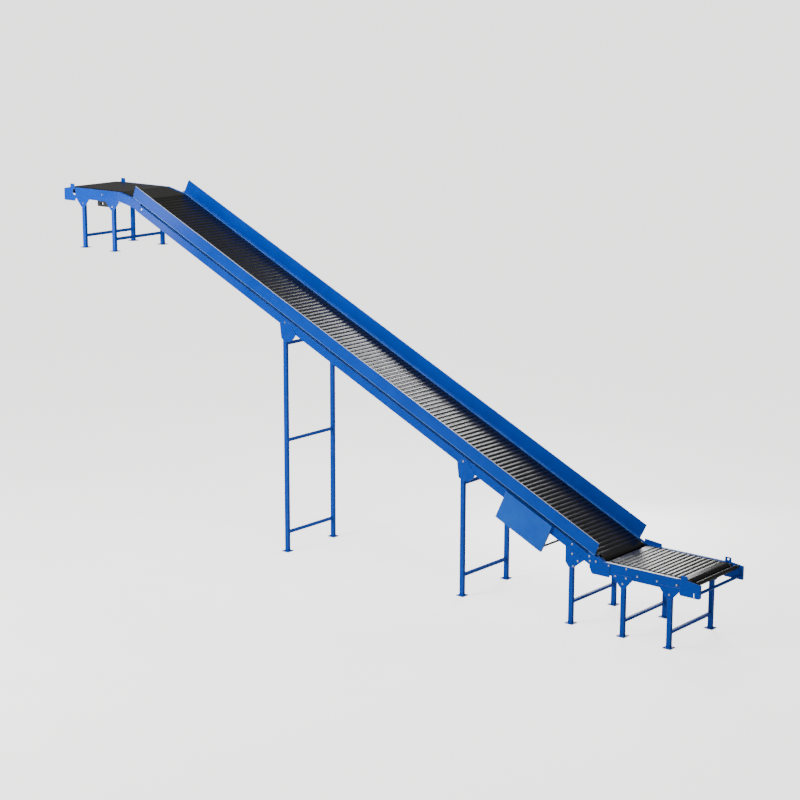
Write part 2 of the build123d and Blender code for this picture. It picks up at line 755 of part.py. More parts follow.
# ---- Gussets on the level sections, pivot plates on the incline ----
with BuildPart() as leg_gussets:
    for number, x in enumerate(support_x, start=1):
        if number in SLOPED:
            continue
        edge = (discharge_height if number > len(infeed_supports) else feeder_height) - rail_depth
        gusset = [
            (x - gusset_half, edge + gusset_lap),
            (x + gusset_half, edge + gusset_lap),
            (x + gusset_half, edge - 8),
            (x + gusset_foot, edge - gusset_drop),
            (x - gusset_foot, edge - gusset_drop),
            (x - gusset_half, edge - 8),
        ]
        for side in SIDES:
            add_plate(gusset, plate_face, plate_thickness, side)
save(leg_gussets, "leg_gussets")


def fan_face(x, y):
    """The outline of a fan-shaped pivot plate over the leg at x."""
    z = rail_bottom(x)
    high_left, low_left = (x - 86, z + 40), (x - 58, z - 172)
    low_right, high_right = (x + 222, z - 92), (x + 150, z - 2)
    with BuildSketch(side_plane(y)) as sketch:
        with BuildLine():
            Line(high_left, low_left)
            ThreePointArc(low_left, (x + 62, z - 212), low_right)
            Line(low_right, high_right)
            ThreePointArc(high_right, (x + 20, z + 84), high_left)
        make_face()
        with Locations((x + 56, z - 112)):
            Circle(9, mode=Mode.SUBTRACT)
    return sketch.sketch


with BuildPart() as pivot_plates:
    for side in SIDES:
        x = support_x[2]
        tip = rail_bottom(x) - 230
        plate = [
            (x - 87, rail_bottom(x - 87) + 12),
            (x - 87, rail_bottom(x) - 160),
            (x - gusset_foot, tip),
            (x + gusset_foot, tip),
            (x + 205, rail_bottom(x + 205) - 2),
            (x + 205, rail_bottom(x + 205) + 12),
        ]
        add_plate(plate, plate_face, plate_thickness, side)
        for x in support_x[3:5]:
            extrude(fan_face(x, side * plate_face), amount=side * plate_thickness)
save(pivot_plates, "pivot_plates")

# ---- Junction box under the near discharge rail ----
with BuildPart() as junction_box:
    edge = discharge_height - rail_depth
    left = outfeed_x + 745
    outline = [(left, edge - 85), (left + 230, edge - 85), (left + 230, edge), (left, edge)]
    add_plate(outline, rail_face - 10, rail_flange - 10, NEAR)
    window = [(left + 70, edge - 60), (left + 125, edge - 60), (left + 125, edge - 22), (left + 70, edge - 22)]
    add_plate(window, rail_face - 10, rail_flange - 10, NEAR, mode=Mode.SUBTRACT)
save(junction_box, "junction_box")

# ---- Bolts, each a hexagon head on its washer, the same on both sides ----
rail_bolts = [
    (slot_centre[0] - 18, slot_centre[1]),
    (infeed_x - 635, feeder_height - 92),
    (infeed_x - 929, feeder_height - 95),
    (infeed_x - 1097, feeder_height - 26),
    on_slope(510, -80),
    on_slope(incline_length - nose_reach - 130, -80),
    (outfeed_x + 864, discharge_height - 66),
]
plate_bolts = [
    on_slope(215, -60),
    on_slope(178, -110),
    (foot_x - 117, feeder_height - 16),
    (foot_x + 84, feeder_height - 30),
    (support_x[2] + 112, rail_bottom(support_x[2]) - 122),
    (support_x[2] + 40, rail_bottom(support_x[2]) - 205),
]
for number, x in enumerate(support_x, start=1):
    if number in SLOPED:
        plate_bolts.append((x + 21, rail_bottom(x) + (60 if number > 3 else -40)))
    else:
        edge = (discharge_height if number > len(infeed_supports) else feeder_height) - rail_depth
        plate_bolts.append((x, edge - 68))
        if number == 2:
            plate_bolts += [(x - 111, edge + 15), (x + 50, edge + 15)]
with BuildPart() as frame_bolts:
    for face, places in ((rail_face, rail_bolts), (plate_face, plate_bolts)):
        for side in SIDES:
            outward = Plane(origin=(0, side * face, 0), x_dir=(-side, 0, 0), z_dir=(0, side, 0))
            spots = [(-side * x, z) for x, z in places]
            with BuildSketch(outward):
                with Locations(*spots):
                    Circle(washer_radius)
            extrude(amount=washer_height)
            with BuildSketch(outward.offset(washer_height)):
                with Locations(*spots):
                    RegularPolygon(bolt_radius, 6)
            extrude(amount=bolt_head)
save(frame_bolts, "frame_bolts")
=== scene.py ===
"""Looks of the inclined belt conveyor: belts, rollers, drive, welds and finishes, and the studio round it.

Everything is in metres in the row frame: +X to the infeed end, +Y to the far side, +Z up.
"""

from __future__ import annotations

import json
import logging
import math
from dataclasses import dataclass, field
from enum import Enum

import bmesh
import bpy
import numpy as np
from mathutils import Matrix, Vector


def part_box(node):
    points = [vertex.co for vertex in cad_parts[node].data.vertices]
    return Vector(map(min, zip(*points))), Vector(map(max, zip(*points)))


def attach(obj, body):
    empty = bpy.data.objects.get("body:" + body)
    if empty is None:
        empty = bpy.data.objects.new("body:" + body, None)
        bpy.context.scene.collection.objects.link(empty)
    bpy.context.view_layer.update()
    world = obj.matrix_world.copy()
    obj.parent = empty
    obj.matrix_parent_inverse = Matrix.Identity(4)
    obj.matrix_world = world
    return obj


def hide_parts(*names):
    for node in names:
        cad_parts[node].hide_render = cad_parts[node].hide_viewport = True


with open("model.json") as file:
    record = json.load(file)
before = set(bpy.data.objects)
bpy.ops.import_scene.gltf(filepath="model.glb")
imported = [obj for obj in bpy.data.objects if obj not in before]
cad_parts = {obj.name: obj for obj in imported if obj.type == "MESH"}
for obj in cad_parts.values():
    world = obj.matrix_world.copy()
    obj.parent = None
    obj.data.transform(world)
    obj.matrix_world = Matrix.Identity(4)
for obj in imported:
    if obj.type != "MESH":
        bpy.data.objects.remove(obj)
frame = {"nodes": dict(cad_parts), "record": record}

LOG = logging.getLogger("conveyor")
MM = 0.001
BEVEL_SAMPLES = 12
# The belts' thickness, and the space between a belt's inside and the wheels that it runs round.
BELT_THICKNESS = 0.005
BELT_GAP = 0.0003
# The part of the slow noise that is spread over a finish's two tones and its two roughnesses.
MOTTLE_SPAN = {"From Min": 0.3, "From Max": 0.7}
# The dot product of the rounded and the flat normal where the paler edge begins, and where it is palest: a
# painted highlight that also stands for edge wear.
EDGE_HIGHLIGHT_SPAN = {"From Min": 0.97, "From Max": 0.75, "To Min": 0.0, "To Max": 0.75}
# The streaks along a belt: how much is squeezed along and across it, and the part of the noise that shows.
STREAK_STRETCH = (0.6, 14.0, 1.0)
STREAK_SPAN = {"From Min": 0.35, "From Max": 0.7, "To Min": 0.35, "To Max": 1.0}
# The part of the rise over a roller that takes the paler tone: a painted sheen, which is a painted highlight,
# together with wear.
RISE_SPAN = {"From Min": 0.25, "From Max": 0.9, "To Min": 0.0}
Array = np.ndarray
Object = bpy.types.Object
Material = bpy.types.Material
Socket = bpy.types.NodeSocket
Tree = bpy.types.NodeTree
Point = tuple[float, float]
Place = tuple[float, float, float]
Mesh = tuple[Array, Array]


# ---- Colour and nodes ----
def linear(hex_colour: str) -> tuple[float, float, float, float]:
    """Turn an sRGB colour into linear light.

    Each channel c goes to c / 12.92 below 0.04045, and to ((c + 0.055) / 1.055) ** 2.4 above it.

    Args:
        hex_colour: six hex digits with a leading hash.

    Returns:
        Linear red, green and blue, and an alpha of 1.
    """
    channels = [int(hex_colour[i : i + 2], 16) / 255 for i in (1, 3, 5)]
    red, green, blue = (c / 12.92 if c <= 0.04045 else ((c + 0.055) / 1.055) ** 2.4 for c in channels)
    return red, green, blue, 1.0


def add_node(
    tree: Tree,
    kind: str,
    settings: dict[str, object] | None = None,
    values: dict[str | int, object] | None = None,
    links: dict[str | int, Socket] | None = None,
) -> bpy.types.Node:
    """Add one shader node.

    Args:
        tree: the node tree that gets it.
        kind: the node's type without its ShaderNode prefix.
        settings: properties of the node itself.
        values: constants for its inputs, by name or number.
        links: output sockets to join to its inputs.

    Returns:
        The new node.
    """
    node = tree.nodes.new(f"ShaderNode{kind}")
    for name, value in (settings or {}).items():
        setattr(node, name, value)
    for name, value in (values or {}).items():
        node.inputs[name].default_value = value
    for name, socket in (links or {}).items():
        tree.links.new(socket, node.inputs[name])
    return node


class Pattern(Enum):
    """Where a finish takes its pattern from."""

    OBJECT = "Object"
    SURFACE = "UV"


@dataclass(frozen=True)
class Finish:
    """A procedural finish: two tones mottled by noise, and a bumpy grain with its own roughness.

    Attributes:
        name: the material's name.
        tones: the darker and the lighter tone.
        patch_mm: size of the mottling.
        grain_mm: size of the bumps.
        grain_depth_mm: height of the bumps.
        roughness: the smoothest and the roughest place.
        metallic: how metallic it is.
        ior: index of refraction.
        gloss: specular level, where 0.5 is the plain reflection of the index.
        stretch: how much the pattern is squeezed along x, y and z.
        edge_highlight_tone: tone of the edges, a painted highlight with some edge wear, or None where they do
            not show.
        edge_mm: how far the edges look rounded.
        pattern: the coordinates that the pattern reads.
    """

    name: str
    tones: tuple[str, str]
    patch_mm: float
    grain_mm: float
    grain_depth_mm: float
    roughness: Point
    metallic: float = 0.0
    ior: float = 1.5
    gloss: float = 0.5
    stretch: Place = (1.0, 1.0, 1.0)
    edge_highlight_tone: str | None = None
    edge_mm: float = 0.0
    pattern: Pattern = Pattern.OBJECT

    def blend(self, tree: Tree, mottle: Socket) -> Socket:
        """Mix the two tones, from the darker one to the lighter one over the span of the mottling.

        Args:
            tree: the node tree.
            mottle: the slow noise.

        Returns:
            The mixed colour.
        """
        share = add_node(tree, "MapRange", values=MOTTLE_SPAN, links={"Value": mottle}).outputs["Result"]
        tones = {6: linear(self.tones[0]), 7: linear(self.tones[1])}
        return add_node(tree, "Mix", {"data_type": "RGBA"}, tones, {0: share}).outputs[2]

    def colour(self, tree: Tree, place: Socket, mottle: Socket) -> Socket:
        """Colour the surface away from its edges.

        Args:
            tree: the node tree.
            place: the pattern coordinates, for a finish that has a pattern of its own.
            mottle: the slow noise.

        Returns:
            The base colour.
        """
        return self.blend(tree, mottle)

    def lit_and_worn_edges(self, tree: Tree, colour: Socket) -> Socket:
        """Paint the edges lighter where a rounded normal parts from the flat one: a painted highlight, with
        some edge wear.

        Args:
            tree: the node tree.
            colour: the colour away from the edges.

        Returns:
            The colour with its edges.
        """
        if self.edge_highlight_tone is None:
            return colour
        rounded = add_node(tree, "Bevel", {"samples": BEVEL_SAMPLES}, {"Radius": self.edge_mm * MM})
        flat = add_node(tree, "NewGeometry").outputs["Normal"]
        normals = {0: rounded.outputs["Normal"], 1: flat}
        turn = add_node(tree, "VectorMath", {"operation": "DOT_PRODUCT"}, links=normals)
        edge = add_node(tree, "MapRange", values=EDGE_HIGHLIGHT_SPAN, links={"Value": turn.outputs["Value"]})
        parts = {0: edge.outputs["Result"], 6: colour}
        return add_node(tree, "Mix", {"data_type": "RGBA"}, {7: linear(self.edge_highlight_tone)}, parts).outputs[2]

    def make(self) -> Material:
        """Build the material. Slow noise sets its colour and its roughness, and finer noise its bumps.

        Returns:
            The material.
        """
        material = bpy.data.materials.new(self.name)
        material.use_nodes = True
        tree = material.node_tree
        shader = tree.nodes["Principled BSDF"]
        origin = add_node(tree, "TexCoord").outputs[self.pattern.value]
        mapping = add_node(tree, "Mapping", values={"Scale": self.stretch}, links={"Vector": origin})
        place = mapping.outputs["Vector"]
        patches = {"Scale": 1 / (self.patch_mm * MM), "Detail": 4.0, "Roughness": 0.6}
        mottle = add_node(tree, "TexNoise", values=patches, links={"Vector": place}).outputs["Fac"]
        # The edges get a painted highlight here, with some edge wear.
        tree.links.new(self.lit_and_worn_edges(tree, self.colour(tree, place, mottle)), shader.inputs["Base Color"])
        rough = add_node(
            tree,
            "MapRange",
            values={**MOTTLE_SPAN, "To Min": self.roughness[0], "To Max": self.roughness[1]},
            links={"Value": mottle},
        )
        tree.links.new(rough.outputs["Result"], shader.inputs["Roughness"])
        grain_values = {"Scale": 1 / (self.grain_mm * MM), "Detail": 3.0}
        grain = add_node(tree, "TexNoise", values=grain_values, links={"Vector": place})
        normal: dict[str | int, Socket] = {"Height": grain.outputs["Fac"]}
        if self.edge_mm:
            rounded = add_node(tree, "Bevel", {"samples": BEVEL_SAMPLES}, {"Radius": self.edge_mm * MM})
            normal["Normal"] = rounded.outputs["Normal"]
        depth = {"Distance": self.grain_depth_mm * MM, "Strength": 1.0}
        bump = add_node(tree, "Bump", values=depth, links=normal)
        tree.links.new(bump.outputs["Normal"], shader.inputs["Normal"])
        shader.inputs["Metallic"].default_value = self.metallic
        if not self.metallic:
            shader.inputs["IOR"].default_value = self.ior
            shader.inputs["Specular IOR Level"].default_value = self.gloss
        return material


@dataclass(frozen=True)
class BeltRubber(Finish):
    """Black conveyor rubber, painted grey where it rides over the rollers: a painted highlight for the sheen
    there, with some wear.

    The rise attribute is 1 over a roller and 0 between two. Streaks run along the belt, where goods have
    rubbed it.
    """

    sheen_and_wear_tone: str = "#6B6963"
    sheen_and_wear: float = 0.6

    def colour(self, tree: Tree, place: Socket, mottle: Socket) -> Socket:
        """Mix in the paler tone, painted sheen and wear, where the belt rises, broken up by streaks along it.

        Args:
            tree: the node tree.
            place: the pattern coordinates.
            mottle: the slow noise.

        Returns:
            The base colour.
        """
        ground = self.blend(tree, mottle)
        rise = add_node(tree, "Attribute", {"attribute_name": "rise"}).outputs["Fac"]
        lane = add_node(tree, "Mapping", values={"Scale": STREAK_STRETCH}, links={"Vector": place})
        grain = {"Scale": 3.0, "Detail": 3.0}
        streak = add_node(tree, "TexNoise", values=grain, links={"Vector": lane.outputs[0]})
        streaks = add_node(tree, "MapRange", values=STREAK_SPAN, links={"Value": streak.outputs["Fac"]})
        raised = add_node(
            tree,
            "MapRange",
            {"interpolation_type": "SMOOTHSTEP"},
            {**RISE_SPAN, "To Max": self.sheen_and_wear},
            {"Value": rise},
        )
        shares = {0: streaks.outputs["Result"], 1: raised.outputs["Result"]}
        amount = add_node(tree, "Math", {"operation": "MULTIPLY"}, links=shares)
        # The paler tone where the belt rises is a painted highlight for the sheen, as well as wear.
        parts = {0: amount.outputs[0], 6: ground}
        return add_node(tree, "Mix", {"data_type": "RGBA"}, {7: linear(self.sheen_and_wear_tone)}, parts).outputs[2]


# Baked polyester powder coat on steel: a strong blue with a soft gloss and fine orange peel; its paler edges
# are a painted highlight with some edge wear.
BLUE_POWDER_COAT = Finish(
    name="powder_coated_steel_blue", tones=("#0245B4", "#044DC6"), patch_mm=420.0, grain_mm=4.0,
    grain_depth_mm=0.02, roughness=(0.32, 0.40), gloss=0.13, edge_highlight_tone="#8FBEF5", edge_mm=6.0,
)
# Styrene butadiene rubber cover, calendered: near black with a satin sheen, painted paler over the rollers as
# a highlight with some wear.
INCLINE_RUBBER = BeltRubber(
    name="calendered_rubber_belt", tones=("#070706", "#12110F"), patch_mm=160.0, grain_mm=40.0,
    grain_depth_mm=0.05, roughness=(0.26, 0.33), ior=1.52, gloss=0.4, pattern=Pattern.SURFACE,
    sheen_and_wear_tone="#3A3835", sheen_and_wear=0.5,
)
# The same rubber on the feeder, where goods are loaded: smoother, and painted paler over the rollers as a
# highlight with some wear.
FEEDER_RUBBER = BeltRubber(
    name="feeder_rubber_belt_painted_sheen", tones=("#070706", "#11100F"), patch_mm=120.0, grain_mm=40.0,
    grain_depth_mm=0.05, roughness=(0.25, 0.31), ior=1.52, gloss=0.4, pattern=Pattern.SURFACE,
)
# Ground nitrile sleeve on the loose end roller: black and smooth, with a satin sheen.
ROLLER_SLEEVE = Finish(
    name="ground_nitrile_sleeve", tones=("#090908", "#151413"), patch_mm=40.0, grain_mm=4.0,
    grain_depth_mm=0.02, roughness=(0.42, 0.50), ior=1.52,
)
# Drawn steel tube, turned true: fine rings round it, seen as bands a few millimetres wide.
TURNED_STEEL = Finish(
    name="turned_steel_tube", tones=("#7E8184", "#A9ACAE"), patch_mm=30.0, grain_mm=5.0,
    grain_depth_mm=0.05, roughness=(0.28, 0.42), metallic=1.0, stretch=(0.05, 2.0, 0.05),
)
# Electroplated zinc on bolts: pale, a little cloudy, with a faint spangle.
ZINC_PLATE = Finish(
    name="zinc_plated_steel", tones=("#B4B8BC", "#D9DCDE"), patch_mm=12.0, grain_mm=3.0,
    grain_depth_mm=0.08, roughness=(0.25, 0.45), metallic=1.0,
)
# Sand-cast grey iron under machine enamel: a pebbled skin with a dull gloss, its edges painted paler as a
# highlight with some edge wear.
ENAMELLED_IRON = Finish(
    name="enamelled_cast_iron", tones=("#3E444B", "#555C64"), patch_mm=60.0, grain_mm=4.0,
    grain_depth_mm=0.5, roughness=(0.42, 0.6), edge_highlight_tone="#8A9097", edge_mm=2.5,
)
# Hardened carbon steel, blued and oiled: dark, with a greasy uneven shine.
OILED_STEEL = Finish(
    name="oiled_carbon_steel", tones=("#1C1C1D", "#3A3938"), patch_mm=18.0, grain_mm=3.0,
    grain_depth_mm=0.12, roughness=(0.28, 0.5), metallic=0.85,
)
# The drive cover's copy of the same powder coat, painted a paler blue as a highlight, with a softer gloss and
# edges painted paler as a highlight with some edge wear.
COVER_COAT_PALE_HIGHLIGHT = Finish(
    name="powder_coated_cover_painted_highlight", tones=("#0757CC", "#1A6EE0"), patch_mm=600.0, grain_mm=3.0,
    grain_depth_mm=0.06, roughness=(0.32, 0.40), gloss=0.2, edge_highlight_tone="#A9CCF8", edge_mm=7.0,
)
# Texture-coated sheet steel of an electrical box: black with a fine wrinkle, its edges painted paler as a
# highlight with some edge wear.
BLACK_ENAMEL = Finish(
    name="wrinkle_coated_steel_black", tones=("#0B0B0D", "#17171A"), patch_mm=50.0, grain_mm=2.5,
    grain_depth_mm=0.25, roughness=(0.45, 0.6), edge_highlight_tone="#5A5A5E", edge_mm=2.0,
)
# Mild steel weld bead under the same powder coat: rippled, a little darker in its valleys.
PAINTED_WELD = Finish(
    name="powder_coated_weld", tones=("#033A96", "#074FC4"), patch_mm=10.0, grain_mm=3.0,
    grain_depth_mm=0.3, roughness=(0.32, 0.45), gloss=0.2,
)
# Painted highlight: a near white strip along a lip, standing in for the bright light on that edge.
WHITE_LIP_HIGHLIGHT = Finish(
    name="painted_highlight_lip_white", tones=("#E3ECF6", "#FBFCFD"), patch_mm=90.0, grain_mm=4.0,
    grain_depth_mm=0.05, roughness=(0.3, 0.45), gloss=0.6,
)
# Painted highlight: a strip along the far lip and the guard feet, only a little paler than its face.
BLUE_LIP_HIGHLIGHT = Finish(
    name="painted_highlight_lip_blue", tones=("#2F74D2", "#6FA3E6"), patch_mm=90.0, grain_mm=4.0,
    grain_depth_mm=0.05, roughness=(0.3, 0.4), gloss=0.3,
)
# Painted shade: a dull navy black strip in the groove between rail and guard, standing in for the shadow
# there.
GROOVE_SHADE_STRIP = Finish(
    name="painted_groove_shade_navy", tones=("#03102B", "#071A3E"), patch_mm=120.0, grain_mm=5.0,
    grain_depth_mm=0.08, roughness=(0.6, 0.75), gloss=0.2,
)
# Painted concrete studio floor: pale, nearly matt.
PALE_FLOOR = Finish(
    name="painted_concrete_pale", tones=("#F4F4F2", "#FAFAF8"), patch_mm=900.0, grain_mm=20.0,
    grain_depth_mm=0.05, roughness=(0.55, 0.7),
)


# ---- Surfaces ----
def quad_grid(rows: int, columns: int, closed_rows: bool, closed_columns: bool) -> Array:
    """Number the corners of the quads of a grid.

    Quad (i, j) joins the points (i, j), (i + 1, j), (i + 1, j + 1) and (i, j + 1), counted round where it is
    closed.

    Args:
        rows: points along the first parameter.
        columns: points along the second parameter.
        closed_rows: whether the last row joins the first.
        closed_columns: whether the last column joins the first.

    Returns:
        An array of corner numbers, four for each quad.
    """
    i = np.arange(rows if closed_rows else rows - 1)[:, None]
    j = np.arange(columns if closed_columns else columns - 1)[None, :]
    i2, j2 = (i + 1) % rows, (j + 1) % columns
    corners = (i * columns + j, i2 * columns + j, i2 * columns + j2, i * columns + j2)
    return np.stack(np.broadcast_arrays(*corners), -1).reshape(-1, 4)


def make_object(name: str, points: Array, quads: Array, crease_deg: float = 35.0) -> Object:
    """Put points and quads into a smooth mesh object whose edges above a crease angle stay sharp.

    Args:
        name: the object's name.
        points: corner places, in metres.
        quads: corner numbers of each quad.
        crease_deg: the least angle of a sharp edge.

    Returns:
        The object, at the origin.
    """
    mesh = bpy.data.meshes.new(name)
    count = len(quads)
    mesh.vertices.add(len(points))
    mesh.vertices.foreach_set("co", np.ascontiguousarray(points, np.float32).ravel())
    mesh.loops.add(4 * count)
    mesh.loops.foreach_set("vertex_index", np.ascontiguousarray(quads, np.int32).ravel())
    mesh.polygons.add(count)
    mesh.polygons.foreach_set("loop_start", np.arange(0, 4 * count, 4, dtype=np.int32))
    mesh.polygons.foreach_set("use_smooth", np.ones(count, bool))
    mesh.update(calc_edges=True)
    mesh.validate()
    mesh.set_sharp_from_angle(angle=math.radians(crease_deg))
    thing = bpy.data.objects.new(name, mesh)
    bpy.context.scene.collection.objects.link(thing)
    return thing


def join_grids(parts: list[Mesh]) -> Mesh:
    """Stack point and quad arrays into one pair, each set of quads moved up by the points before it."""
    starts = np.cumsum([0] + [len(points) for points, _ in parts[:-1]])
    return np.concatenate([p for p, _ in parts]), np.concatenate([q + s for (_, q), s in zip(parts, starts)])


def capped_grid(points: Array) -> Mesh:
    """Close a tube of rings with fans at both ends, each a ring of quads that shrinks to one point.

    Args:
        points: rings of points, shaped (rings, points round, 3).

    Returns:
        Points and quads of the closed surface.
    """
    first = np.repeat(points[:1].mean(1, keepdims=True), points.shape[1], 1)
    last = np.repeat(points[-1:].mean(1, keepdims=True), points.shape[1], 1)
    rings = np.concatenate([first, points, last])
    return rings.reshape(-1, 3), quad_grid(rings.shape[0], rings.shape[1], False, True)


def ring_points(x: Array, y: Array, z: Array) -> Array:
    """Spread three arrays over one grid and put them together as points."""
    return np.stack(np.broadcast_arrays(x, y, z), -1)


def softened(u: Array, power: float) -> tuple[Array, Array]:
    """The superellipse (|cos u| ** power, |sin u| ** power), each with its sign."""
    cosine, sine = np.cos(u), np.sin(u)
    return np.sign(cosine) * np.abs(cosine) ** power, np.sign(sine) * np.abs(sine) ** power


def fitted(thing: Object, material: Material, body: str, node: str = "") -> Object:
    """Give a piece its material and its body, and hide the CAD node that it stands for.

    Args:
        thing: the piece.
        material: its material.
        body: the body that it rides on.
        node: the CAD node that it replaces, if it replaces one.

    Returns:
        The piece.
    """
    thing.data.materials.append(material)
    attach(thing, body)
    if node:
        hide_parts(node)
    return thing


def welded(thing: Object) -> Object:
    """Merge points that coincide and turn every face outwards.

    Args:
        thing: the piece.

    Returns:
        The same piece.
    """
    work = bmesh.new()
    work.from_mesh(thing.data)
    bmesh.ops.remove_doubles(work, verts=work.verts, dist=1e-6)
    bmesh.ops.dissolve_degenerate(work, edges=work.edges, dist=1e-7)
    bmesh.ops.recalc_face_normals(work, faces=work.faces)
    work.to_mesh(thing.data)
    work.free()
    return thing


def lathe_y(profile: Array, centre: Point, segments: int) -> Mesh:
    """Turn a profile round an axis along Y.

    A profile point at height y and radius r sweeps the circle (cx + r cos a, y, cz + r sin a).

    Args:
        profile: rows of (y, r), in metres.
        centre: x and z of the axis.
        segments: points round the circle.

    Returns:
        Points and quads of the closed surface.
    """
    angle = np.linspace(0, 2 * np.pi, segments, endpoint=False)
    y, r = profile[:, :1], profile[:, 1:]
    return capped_grid(ring_points(centre[0] + r * np.cos(angle), y, centre[1] + r * np.sin(angle)))


def node_centre(node: str) -> Point:
    """The x and z of the middle of a CAD node."""
    low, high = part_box(node)
    return (low.x + high.x) / 2, (low.z + high.z) / 2


def node_radius(node: str) -> float:
    """Half the height of a CAD node."""
    low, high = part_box(node)
    return (high.z - low.z) / 2


def node_plane(node: str) -> float:
    """The y of the middle of a CAD node."""
    low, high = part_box(node)
    return (low.y + high.y) / 2


# ---- The bed line and the loops that run round wheels ----
@dataclass(frozen=True)
class BedLine:
    """The line along the tops of the side rails, with the conveyor's leading sizes."""

    incline_deg: float = 25.0
    rise: float = 4.085
    feeder_height: float = 0.943
    feeder_length: float = 1.445
    discharge_length: float = 1.465
    nose_reach: float = 0.215
    roller_radius: float = 0.024
    incline_pitch: float = 0.074
    feeder_pitch: float = 0.080

    @property
    def slope(self) -> float:
        """The incline in radians."""
        return math.radians(self.incline_deg)

    @property
    def half_length(self) -> float:
        """Half the overall length."""
        return (self.feeder_length + self.rise / math.tan(self.slope) + self.discharge_length) / 2

    @property
    def foot(self) -> Array:
        """The foot of the incline, as x and z."""
        return np.array([self.half_length - self.feeder_length, self.feeder_height])

    @property
    def along(self) -> Array:
        """The direction up the incline, as x and z."""
        return np.array([-math.cos(self.slope), math.sin(self.slope)])

    @property
    def up(self) -> Array:
        """The direction square above the incline, as x and z."""
        return np.array([math.sin(self.slope), math.cos(self.slope)])

    @property
    def incline_length(self) -> float:
        """The length of the incline from its foot to where it would meet the discharge."""
        return self.rise / math.sin(self.slope)

    def on_slope(self, s: float) -> Array:
        """The x and z of the place s metres up the incline from its foot."""
        return self.foot + s * self.along

    @property
    def nose(self) -> tuple[Array, Array]:
        """Both bends of the nose-over, as x and z."""
        crest_x = -self.half_length + self.discharge_length - self.nose_reach
        high = np.array([crest_x, self.feeder_height + self.rise])
        return self.on_slope(self.incline_length - self.nose_reach), high

    def bend_centre(self, which: int, depth: float) -> Array:
        """The place a depth under a bend of the nose-over, along the line that halves its angle.

        Args:
            which: 0 for the lower bend and 1 for the upper one.
            depth: the distance from both stretches that meet there.

        Returns:
            The x and z of the place.
        """
        headings = (np.pi - self.slope, np.pi - self.slope / 2, np.pi)
        before, after = headings[which], headings[which + 1]
        mitre, reach = (before + after) / 2, depth / math.cos((after - before) / 2)
        return self.nose[which] + reach * np.array([-math.sin(mitre), math.cos(mitre)])


@dataclass(frozen=True)
class Wheel:
    """A round thing that a band runs over: its place, its radius, and 1 inside the loop or -1 outside it."""

    centre: Point
    radius: float
    side: int = 1

    @staticmethod
    def of(node: str, side: int = 1, radius: float | None = None) -> "Wheel":
        """The wheel that a CAD node makes."""
        return Wheel(node_centre(node), node_radius(node) if radius is None else radius, side)


@dataclass
class Loop:
    """The middle line of a closed band round wheels, sampled as whole arrays.

    On a wheel the line is a circle as far out as the wheel's radius and the band's offset, and between two
    wheels it is the straight line that touches both circles.
    """

    wheels: list[Wheel]
    offset: float
    step: float
    points: Array = field(init=False)
    outward: Array = field(init=False)
    travel: Array = field(init=False)

    def __post_init__(self) -> None:
        """Sample the line: its points, its outward normals and the distance travelled."""
        centres = np.array([w.centre for w in self.wheels])
        side = np.array([w.side for w in self.wheels])
        reach = side * (np.array([w.radius for w in self.wheels]) + self.offset)
        ahead = np.roll(centres, -1, 0) - centres
        heading = np.arctan2(ahead[:, 1], ahead[:, 0])
        heading = heading + np.arcsin((reach - np.roll(reach, -1)) / np.hypot(*ahead.T))
        pieces = []
        for i, (centre, r) in enumerate(zip(centres, reach)):
            before, after = heading[i - 1], heading[i]
            turn = (after - before) % (2 * np.pi) - (2 * np.pi if side[i] < 0 else 0)
            steps = max(3, int(abs(turn * r) / self.step) + 2)
            a = before + turn * np.linspace(0, 1, steps)
            arc = centre + r * np.stack([np.sin(a), -np.cos(a)], -1)
            pieces.append(np.column_stack([arc, np.sin(a), -np.cos(a)]))
            following = (i + 1) % len(centres)
            end = centres[following] + reach[following] * np.array([np.sin(after), -np.cos(after)])
            steps = max(2, int(np.hypot(*(end - arc[-1])) / self.step))
            t = np.linspace(0, 1, steps + 1)[1:-1, None]
            line = arc[-1] + t * (end - arc[-1])
            square = np.tile([np.sin(after), -np.cos(after)], (len(t), 1))
            pieces.append(np.column_stack([line, square]))
        table = np.concatenate(pieces)
        self.points, self.outward = table[:, :2], table[:, 2:]
        self.travel = np.concatenate([[0], np.cumsum(np.hypot(*np.diff(self.points, axis=0).T))])


# ---- Belts ----
@dataclass(frozen=True)
class Run:
    """A straight carrying run: its first roller's place, its direction, length, roller pitch and sag."""

    start: Array
    along: Array
    length: float
    pitch: float
    sag: float

    @staticmethod
    def between(first: Array, last: Array, pitch: float, sag: float) -> "Run":
        """The run from one roller to another, with even gaps no longer than the pitch."""
        length = float(np.hypot(*(last - first)))
        return Run(first, (last - first) / length, length, length / max(1, int(length / pitch + 0.999)), sag)


